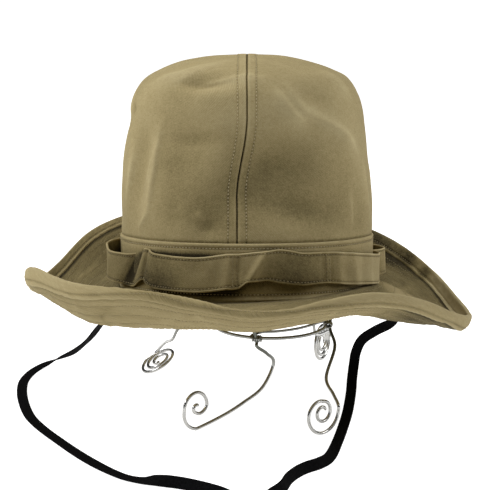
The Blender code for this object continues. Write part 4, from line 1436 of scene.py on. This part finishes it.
def crown_lift(azimuth, share, points):
    """The seam's turned-in edges and its stitched, slightly raised allowance, and the cloth's soft waves."""
    away = seam_distance(azimuth, share)
    turned_in = -SEAM_DEPTH * bell(away, 0.0, SEAM_GROOVE)
    allowance = ALLOWANCE_RISE * smooth_step(SEAM_STITCH + 0.0016, SEAM_STITCH + 0.0002, away)
    pucker = 1.0 + 0.5 * np.sin(share * PROFILE_LENGTH * 2 * math.pi / PUCKER_LENGTH + 1.3)
    stitched = -PUCKER_DEPTH * pucker * bell(away, SEAM_STITCH, 0.0009)
    foot = share_at_height(BAND_HEIGHT)
    tucked = -0.0005 * bell((share - foot) * PROFILE_LENGTH, 0.0, 0.0012)
    soft = waves_at(CROWN_WAVES, points) * smooth_step(foot, foot + 0.06, share)
    hollows = MM * spots_at(CROWN_HOLLOWS, azimuth, share)
    return turned_in + allowance + stitched + soft + tucked - hollows


def crown_wear_and_painted_shading(azimuth, share, outside):
    """Paler beside the seam and darker along its stitches, with painted shade at the crown's foot just above
    the band, in its dents and in its hollows, and painted light on the ridges of those tables.
    """
    above = (share - share_at_height(BAND_HEIGHT)) * PROFILE_LENGTH
    # Painted shadow along the crown's foot, just above the band's welt
    foot_painted_shadow = FOOT_PAINTED_SHADOW * bell(above, 0.0004, 0.0007)
    # Painted shade in the dents and the hollows, and painted light on their ridges
    dented = DENT_PAINTED_SHADE * dents_at(azimuth, share) / DENT_DEPTH
    hollow = HOLLOW_PAINTED_SHADE * spots_at(CROWN_HOLLOWS, azimuth, share)
    return lines_at(SEAM_TONES, seam_distance(azimuth, share)) + foot_painted_shadow + dented + hollow


def add_crown(look):
    rows = crown_share_rows(share_at_height(BAND_HEIGHT - CROWN_TUCK))
    section = [(place, 0.0) for place in rows] + [(place, -CROWN_WALL) for place in rows[::-CROWN_STRIDE]]
    for name, side, node in (("crown_panel_right", 1, "crown_right"), ("crown_panel_left", -1, "crown_left")):
        middle = 0.0 if side > 0 else math.pi

        def coordinates(azimuth, share):
            return (azimuth - middle) * crown_reach(azimuth, share), share * PROFILE_LENGTH

        cloth_piece(
            name, crown_surface, section, seam_turns(side), look, node, coordinates, crown_wear_and_painted_shading, crown_lift,
            CROWN_FOLDS, merge=1e-6, stride=CROWN_STRIDE,
        )


def ring_turns(count):
    return np.arange(count) * 2 * math.pi / count


def band_lift(azimuth, height, points):
    return waves_at(BAND_WAVES, points) * between((0.001, 0.006, BAND_HEIGHT - 0.006, BAND_HEIGHT), height)


def band_top(height):
    """The band's outer face: a welt along its upper edge and one along its foot, each with a sewn furrow."""
    return lines_at(BAND_RELIEF, height)


def band_wear_and_painted_shading(azimuth, height, outside):
    """Paler along its welts, darker along the stitches, and painted shade below the loop strip, where it
    shades the band, and behind the strip, seen inside the loops.
    """
    lower, upper, flare, _ = columns_round(STRIP_EDGES, azimuth)
    under = STRIP_RISE - STRIP_WIDTH / 2 + MM * lower
    over = STRIP_RISE + STRIP_WIDTH / 2 + MM * upper
    # Painted shadow below the strip, deeper where its lower edge flares out, and painted shade behind it
    shaded = between((under - 0.010, under - 0.001, 0.028, 0.034), height)
    behind = between((under - 0.001, under + 0.004, over - 0.004, over), height)
    return lines_at(BAND_TONES, height) - (0.1 + 1.05 * flare) * shaded - 1.3 * behind


def add_band(look):
    rows = np.linspace(-BRIM_WALL, BAND_HEIGHT, BAND_ROWS)
    section = closed_section(
        -BRIM_WALL, BAND_HEIGHT, band_top, lambda height: -BAND_WALL, rows, rows[::6], 1.0, round_low=False
    )
    cloth_piece(
        "band_cloth", band_surface, section, ring_turns(BAND_AROUND), look, "crown_band",
        lambda azimuth, height: (azimuth * CROWN_LENGTH / 2, height), band_wear_and_painted_shading, band_lift,
    )


def strip_top(up):
    """The strip's outer face: folded edges, and a furrow along each row of stitches."""
    return lines_at(STRIP_RELIEF, min(up, 1.0 - up) * STRIP_WIDTH)


def strip_folds_at(azimuth, up):
    """The strip's upright folds, in millimetres outwards."""
    total = 0.0 * azimuth
    for middle, lean, width, height in STRIP_FOLDS:
        total = total + height * bell(turn_from(middle + lean * (up - 0.5), azimuth), 0.0, width)
    return total


def strip_lift(azimuth, up, points):
    return MM * strip_folds_at(azimuth, up) + waves_at(STRIP_WAVES, points)


def strip_wear_and_painted_shading(azimuth, up, outside):
    """Paler folded edges, darker stitch lines, and painted shade: on the inner face near its edges, in deep
    folds, and the brim's shadow, darker towards the lower edge.
    """
    near = np.minimum(up, 1.0 - up) * STRIP_WIDTH
    # Painted shade on the inner face near the edges, seen inside the loops, and in deep folds
    inside = np.where(outside, 0.0, -1.6 * smooth_step(0.0, 0.003, near))
    deep_fold_painted_shade = (1.2 + 2.4 * up) * np.minimum(0.0, strip_folds_at(azimuth, up) + DEEP_FOLD)
    shade = read_round(STRIP_EDGES, azimuth)[..., 3] * (1.25 - 0.75 * up)
    return lines_at(STRIP_TONES, near) + inside + deep_fold_painted_shade + shade


def add_strip(look):
    rows = np.linspace(0.0, 1.0, STRIP_ROWS)
    section = closed_section(0.0, 1.0, strip_top, lambda up: -STRIP_WALL, rows, rows[::5], 1.0 / STRIP_WIDTH)
    cloth_piece(
        "loop_strip_cloth", strip_surface, section, ring_turns(STRIP_AROUND), look, "loop_strip",
        lambda azimuth, up: (azimuth * CROWN_LENGTH / 2, up * STRIP_WIDTH), strip_wear_and_painted_shading, strip_lift,
    )


def brim_stitch_places():
    """The places of the rows of stitches that go round the brim."""
    step = HEM_START / (BRIM_STITCH_ROWS + 0.6)
    return [step * (index + 0.8) for index in range(BRIM_STITCH_ROWS)]


def brim_puff(place):
    """How far the brim's faces swell between its rows of stitches."""
    nearest = min(abs(place - row) for row in brim_stitch_places()) * BRIM_RUN
    return QUILT_DEPTH * (1.0 - bell(nearest, 0.0, QUILT_WIDTH))


def brim_rows():
    places = set(np.linspace(0.0, HEM_START, BRIM_ROWS).tolist())
    for row in brim_stitch_places():
        for away in (-QUILT_WIDTH, -0.0005, 0.0, 0.0005, QUILT_WIDTH):
            places.add(row + away / BRIM_RUN)
    return sorted(place for place in places if place >= 0.0)


def brim_lift(azimuth, share, points):
    """Long soft waves, and the small pull of the stitching."""
    pull = PULL_DEPTH * np.sin(azimuth * 150.0 + 12.0 * np.sin(azimuth * 7.0)) * np.sin(share * 60.0)
    return (waves_at(BRIM_WAVES, points) + pull) * smooth_step(0.0, 0.12, share)


def brim_painted_shading(azimuth, share, outside):
    """Painted light and shade: darker above all over and near the crown, where the crown and the strip shade
    it, beside the crown at the back right and along the hem's lip; paler across the front and in a painted
    pool of light near the crown at the front right; and below, darker at the wearer's left.
    """
    turn = turn_from(0.0, azimuth)
    tucked = bell((share - HEM_START) * BRIM_RUN, 0.0, 0.0010)
    near = smooth_step(0.4, 0.0, share)
    lit = bell(turn, -8.0, 13.0) * bell(share, 0.22, 0.24)
    beside = smooth_step(0.50, 0.80, share) * between(BRIM_BACK_RIGHT, turn)
    under_strip = bell(turn, -111.0, 10.0) * smooth_step(0.25, 0.0, share)
    # All of this is painted light and shade: shadows of the crown, the strip and the hem's lip, and a pool of
    # light
    upper = 0.8 * between(BRIM_FRONT, turn) - 0.4 * near + 1.9 * lit - 1.5 * beside - 1.5 * under_strip
    lower = 1.5 - 1.9 * between(BRIM_DROOP, turn)
    return np.where(outside, upper - 1.4 * tucked, lower) - 1.6 - 0.8 * tucked


def brim_coordinates(azimuth, share):
    return azimuth * (CROWN_LENGTH / 2 + share * BRIM_WIDTH), share * BRIM_WIDTH


def add_brim(look):
    rows = brim_rows()
    # The brim's upper face has the second parameter outwards, so its section runs the other way round.
    section = closed_section(
        0.0, HEM_START + HEM_OVERLAP / BRIM_RUN, lambda place: 0.3 * brim_puff(place),
        lambda place: -BRIM_WALL - 1.1 * brim_puff(place), rows, rows, 1.0 / BRIM_RUN, round_low=False,
    )
    cloth_piece(
        "brim_cloth", brim_surface, section[::-1], ring_turns(BRIM_AROUND), look, "brim", brim_coordinates,
        brim_painted_shading, brim_lift, BRIM_FOLDS, facing=-1.0,
    )


def hem_top(place):
    """The hem's upper face: a raised inner lip, a sewn furrow and a full edge."""
    return HEM_RAISED + lines_at(HEM_RELIEF_ABOVE, (place - HEM_START) * BRIM_RUN)


def hem_bottom(place):
    return -BRIM_WALL - HEM_RAISED - lines_at(HEM_RELIEF_BELOW, (place - HEM_START) * BRIM_RUN)


def hem_wear_and_painted_shading(azimuth, share, outside):
    """Painted light and shade above and below by azimuth, a painted highlight along its lip, paler at its
    edge, partly from rubbing and partly as a painted highlight, and darker along its stitches.
    """
    inward = (share - HEM_START) * BRIM_RUN
    # Painted light and shade by azimuth, and a painted highlight along the lip
    above, below = columns_round(HEM_SHADES, azimuth)
    lip = bell(inward, 0.0011, 0.0009)
    return np.where(outside, above + 1.2 * lip, below + 0.8 * lip) + lines_at(HEM_TONES, inward)


def add_hem(look):
    start = HEM_START + PIECE_GAP / BRIM_RUN
    rows = np.linspace(start, 1.0, HEM_ROWS).tolist()
    section = closed_section(start, 1.0, hem_top, hem_bottom, rows, rows, 1.0 / BRIM_RUN)
    cloth_piece(
        "brim_hem_cloth", brim_surface, section[::-1], ring_turns(BRIM_AROUND), look, "brim_hem",
        brim_coordinates, hem_wear_and_painted_shading, brim_lift, facing=-1.0,
    )


def face_path(surface, azimuths, places, lift, offset=0.0, folds=(), facing=1.0, away=1.0):
    """World points of a line on a cloth's face and the directions that face away from the cloth there."""
    azimuths, places = as_arrays(azimuths, places)
    face = surface(azimuths, places)
    normals = normals_of(surface, azimuths, places) * facing
    height = fold_lift(face, normals, folds, surface) + lift(azimuths, places, face)
    points = face + normals * (height + offset)[:, None]
    return to_world(points), unit(to_world(normals) - to_world(0.0 * normals)) * away


def seam_stitch_paths():
    """The rows of stitches beside the crown's seam, over its top from front to back."""
    azimuths, kept = [], []
    for share in np.linspace(share_at_height(BAND_HEIGHT) + 0.012, 1.0, 700):
        azimuth = -math.pi / 2
        for _ in range(6):
            reach = float(crown_reach(azimuth, share))
            if reach <= SEAM_STITCH:
                break
            azimuth = -math.acos(SEAM_STITCH / reach)
        if reach > SEAM_STITCH:
            azimuths.append(azimuth)
            kept.append(share)
    front = np.array(azimuths)
    turns = np.concatenate([front, -front[::-1]])
    places = np.concatenate([kept, kept[::-1]])
    return [
        face_path(crown_surface, azimuth, places, crown_lift, folds=CROWN_FOLDS)
        for azimuth in (turns, math.pi - turns)
    ]


def ring_path(surface, place, lift, offset, count=1500, **more):
    return face_path(surface, np.linspace(0.0, 2 * math.pi, count), place, lift, offset, **more)


def tack_paths():
    """Upright rows of stitches where the strip is tacked down, two at each tack."""
    ups = np.linspace(0.06, 0.94, 40)
    turns = [math.radians(start + away) for start in TACKS for away in (-TACK_SPREAD, TACK_SPREAD)]
    return [face_path(strip_surface, turn, ups, strip_lift) for turn in turns]


def add_stitches(look, brim_look):
    stitches("crown_stitches", seam_stitch_paths(), look)
    band = [
        ring_path(band_surface, BAND_HEIGHT - BAND_STITCH, band_lift, -0.0002),
        ring_path(band_surface, BAND_FOOT_STITCH, band_lift, -0.0001),
    ]
    stitches("band_stitches", band, look)
    edge = STRIP_STITCH / STRIP_WIDTH
    strip = [ring_path(strip_surface, place, strip_lift, -0.0001) for place in (edge, 1.0 - edge)]
    stitches("strip_stitches", [*strip, *tack_paths()], brim_look)
    rows = []
    for place in [*brim_stitch_places(), HEM_START + HEM_STITCH / BRIM_RUN]:
        hem = place > HEM_START
        top, bottom = (hem_top(place), hem_bottom(place)) if hem else (0.0, -BRIM_WALL)
        for offset, away in ((top, 1.0), (bottom, -1.0)):
            rows.append(ring_path(
                brim_surface, place, brim_lift, offset, 2200, folds=() if hem else BRIM_FOLDS, facing=-1.0,
                away=away,
            ))
    stitches("brim_stitches", rows, brim_look, sides=4, rings=(-0.45, 0.45))


def about_ring(azimuth, reach, height):
    """Places about the ring's middle, for one azimuth in degrees or for an array of them."""
    return at_radius(np.radians(azimuth), reach, height) + (RING_MIDDLE_X, 0.0, 0.0)


def binding_points(azimuth):
    """Thin wire wound round the ring and a leg where they meet, along the ring."""
    turns = np.linspace(0.0, 2 * math.pi * BINDING_TURNS, BINDING_TURNS * 14)
    along = BINDING_LENGTH * (turns / turns[-1] - 0.5)
    out = 0.5 * (WIRE_DIAMETER + PIECE_GAP) + (WIRE_DIAMETER + 0.5 * BINDING_WIRE) * np.cos(turns)
    up = (0.5 * WIRE_DIAMETER + 0.5 * BINDING_WIRE) * np.sin(turns)
    return about_ring(azimuth + np.degrees(along / RING_RADIUS), RING_RADIUS + out, RING_HEIGHT + up)


def scroll_points(leg):
    """The scroll at a leg's foot, from where the leg comes in to its inner end."""
    _, azimuth, reach, heading, lean, turn = LEGS[leg]
    foot = about_ring(azimuth, FOOT_REACH * reach, 0.0)
    ahead = towards(heading)
    aside = np.array([ahead[1], -ahead[0], 0.0])
    tipped = math.radians(lean)
    upright = np.array([0.0, 0.0, math.cos(tipped)]) + aside * math.sin(tipped)
    middle = foot + (0.0, 0.0, WIRE_DIAMETER / 2 + SCROLL_RADIUS * math.cos(tipped))
    winding = np.array(SCROLLS[leg])[::-1]
    points = []
    while turn >= winding[0, 0]:
        radius = SCROLL_RADIUS * np.interp(turn, winding[:, 0], winding[:, 1])
        angle = math.radians(turn)
        points.append(middle + (ahead * math.cos(angle) + upright * math.sin(angle)) * radius)
        turn -= SCROLL_STEP
    return points


def leg_points(leg):
    """A leg from its scroll's inner end up to the ring."""
    wire = RING_RADIUS + WIRE_DIAMETER + PIECE_GAP
    bends = [about_ring(a, FOOT_REACH * r, RING_HEIGHT * h) for a, r, h in LEG_BENDS[leg]]
    return [*reversed(scroll_points(leg)), *reversed(bends), about_ring(LEGS[leg][0], wire, RING_HEIGHT)]


def cage_points(leg, top):
    """A wire from the ring up inside the crown to just short of the top."""
    points = []
    out = towards(LEGS[leg][0])
    for reach, height in CAGE_BENDS:
        share = min(1.0, height * 2)
        middle = np.array([RING_MIDDLE_X * (1 - share) + top[0] * share, top[1] * share, 0.0])
        up = RING_HEIGHT + (top[2] - RING_HEIGHT) * height
        points.append(middle + out * CAGE_RADIUS * reach + (0.0, 0.0, up))
    return points


def tube(path, radius, sides, closed=False):
    """Points and faces of a round wire along a path, its cross-section carried along without twist."""
    path = np.asarray(path, dtype=float)
    if closed:
        ahead = unit(np.roll(path, -1, axis=0) - np.roll(path, 1, axis=0))
    else:
        ahead = unit(np.gradient(path, axis=0))
    side = unit(np.cross(ahead[0], TUBE_START))
    frames = []
    for direction in ahead:
        side = unit(side - direction * (side @ direction))
        frames.append(side)
    frames = np.array(frames)
    other = np.cross(ahead, frames)
    turns = ring_turns(sides)
    radii = np.full(len(path), radius)
    if not closed:
        for index, share in enumerate(TUBE_END):
            radii[index] = radii[-1 - index] = radius * share
    ring = frames[:, None] * np.cos(turns)[None, :, None] + other[:, None] * np.sin(turns)[None, :, None]
    points = path[:, None] + ring * radii[:, None, None]
    faces = grid_faces(len(path), sides, closed, True)
    if not closed:
        last = (len(path) - 1) * sides
        faces += [tuple(reversed(range(sides))), tuple(last + k for k in range(sides))]
    along = np.repeat(lengths_along(path) * MARKS_STRETCH, sides)
    round_it = np.tile(turns * radius, len(path))
    return points.reshape(-1, 3), faces, np.stack([along, round_it, 0.0 * along], axis=-1)


def joined(parts):
    """One set of points, faces and coordinates from several."""
    points, faces, cloth, count = [], [], [], 0
    for some, quads, places in parts:
        points.append(some)
        cloth.append(places)
        faces += [tuple(count + corner for corner in face) for face in quads]
        count += len(some)
    return np.vstack(points), faces, np.vstack(cloth)


def add_wire(node, parts, look, painted_shade_share):
    """Wires in place of a node, darkened with painted shade towards the ring and above it, under the hat."""
    points, faces, cloth = joined(parts)
    points[:, 2] = np.maximum(points[:, 2], FLOOR_GAP)
    # Painted shade, growing with height under the hat
    wear_and_painted_shading = painted_shade_share * smooth_step(0.4 * RING_HEIGHT, 0.85 * RING_HEIGHT, points[:, 2])
    attributes = (("cloth", cloth), ("wear_and_painted_shading", wear_and_painted_shading))
    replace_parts(add_mesh(node + "_smooth", points, faces, look, attributes), node)


def add_stand(look):
    """The stand's two long wires and its ring, each smooth along its whole length."""
    crown_top = to_world(np.array([0.0, 0.0, CROWN_HEIGHT]))
    drop = CROWN_WALL / math.cos(HAT_TILT) + PIECE_GAP + WIRE_DIAMETER / 2
    upper = crown_top - (0.0, 0.0, drop)
    lower = upper - (0.0, 0.0, WIRE_DIAMETER + PIECE_GAP)
    radius = WIRE_DIAMETER / 2
    for name, first, second, top in (
        ("stand_wire_front", "front", "back", upper),
        ("stand_wire_side", "right", "left", lower),
    ):
        rise = [*leg_points(first), *cage_points(first, top), top]
        fall = [*leg_points(second), *cage_points(second, top)]
        path = smooth_line(np.array([*rise, *reversed(fall)]), WIRE_STEP)
        add_wire(name, [tube(path, radius, WIRE_SIDES)], look, 1.0)
    ring = about_ring(np.degrees(ring_turns(RING_AROUND)), RING_RADIUS, RING_HEIGHT)
    strand = smooth_line(about_ring(*np.array(SECOND_STRAND).T), WIRE_STEP)
    parts = [tube(ring, radius, WIRE_SIDES, closed=True), tube(strand, radius * STRAND_SHARE, WIRE_SIDES)]
    parts += [tube(binding_points(azimuth), BINDING_WIRE / 2, BINDING_SIDES) for azimuth in JOINTS]
    add_wire("stand_ring", parts, look, RING_PAINTED_SHADE)


def add_floor():
    """A plain white floor that glows a little, as a lit studio sweep does."""
    look = bpy.data.materials.new("studio_white")
    look.use_nodes = True
    tree = look.node_tree
    shader = tree.nodes["Principled BSDF"]
    shader.inputs["Base Color"].default_value = (FLOOR_TONE, FLOOR_TONE, FLOOR_TONE, 1.0)
    shader.inputs["Roughness"].default_value = 0.9
    shader.inputs["Specular IOR Level"].default_value = 0.0
    shader.inputs["Emission Color"].default_value = WHITE
    seen = add_node(tree, "LightPath").outputs
    dull = add_node(
        tree, "Math", {1: -FLOOR_DULL, 2: FLOOR_GLOW}, {0: seen["Is Glossy Ray"]}, operation="MULTIPLY_ADD"
    )
    links = {0: seen["Is Camera Ray"], 2: dull.outputs[0]}
    glow = add_node(tree, "Math", {1: FLOOR_SHINE}, links, operation="MULTIPLY_ADD")
    feed_shader(tree, Emission_Strength=glow.outputs[0])
    mesh = bpy.data.meshes.new("floor")
    half = FLOOR_SIZE / 2
    corners = [(-half, -half, 0), (half, -half, 0), (half, half, 0), (-half, half, 0)]
    mesh.from_pydata(corners, [], [(0, 1, 2, 3)])
    mesh.materials.append(look)
    floor = bpy.data.objects.new("floor", mesh)
    bpy.context.scene.collection.objects.link(floor)


def add_lights():
    """Large soft lights above and at both sides, and a dim white room."""
    for name, place, size, power in LIGHTS:
        data = bpy.data.lights.new(name, "AREA")
        data.shape = "DISK"
        data.size = size
        data.energy = power
        light = bpy.data.objects.new(name, data)
        light.location = place
        aim = Vector(LIGHT_AIM) - Vector(place)
        light.rotation_euler = aim.to_track_quat("-Z", "Y").to_euler()
        bpy.context.scene.collection.objects.link(light)
    world = bpy.data.worlds.new("studio")
    bpy.context.scene.world = world
    world.use_nodes = True
    tree = world.node_tree
    tree.nodes.clear()
    seen = add_node(tree, "LightPath").outputs["Is Camera Ray"]
    room = add_node(tree, "Background", {"Color": WHITE, "Strength": ROOM_LIGHT}).outputs[0]
    backdrop = add_node(tree, "Background", {"Color": WHITE, "Strength": BACKDROP_LIGHT}).outputs[0]
    mix = add_node(tree, "MixShader", None, {"Fac": seen, 1: room, 2: backdrop})
    add_node(tree, "OutputWorld", None, {"Surface": mix.outputs["Shader"]})
    bpy.context.scene.view_settings.view_transform = "Standard"


def main():
    place_camera()
    cotton = cloth_look("khaki_twill", KHAKI, KHAKI_WORN_AND_LIT, KHAKI_DEEP, KHAKI_PAINTED_SHADOW)
    thread = thread_look("khaki_thread", THREAD, KHAKI)
    brim_thread = thread_look("khaki_brim_thread", BRIM_THREAD, KHAKI_DEEP)
    tape = tape_look("black_woven_tape", BLACK)
    wire = wire_look("bright_wire", SILVER, WIRE_PAINTED_SHADE)
    add_strap(tape)
    add_crown(cotton)
    add_band(cotton)
    add_strip(cotton)
    add_brim(cotton)
    add_hem(cotton)
    add_stitches(thread, brim_thread)
    add_stand(wire)
    add_floor()
    add_lights()


main()
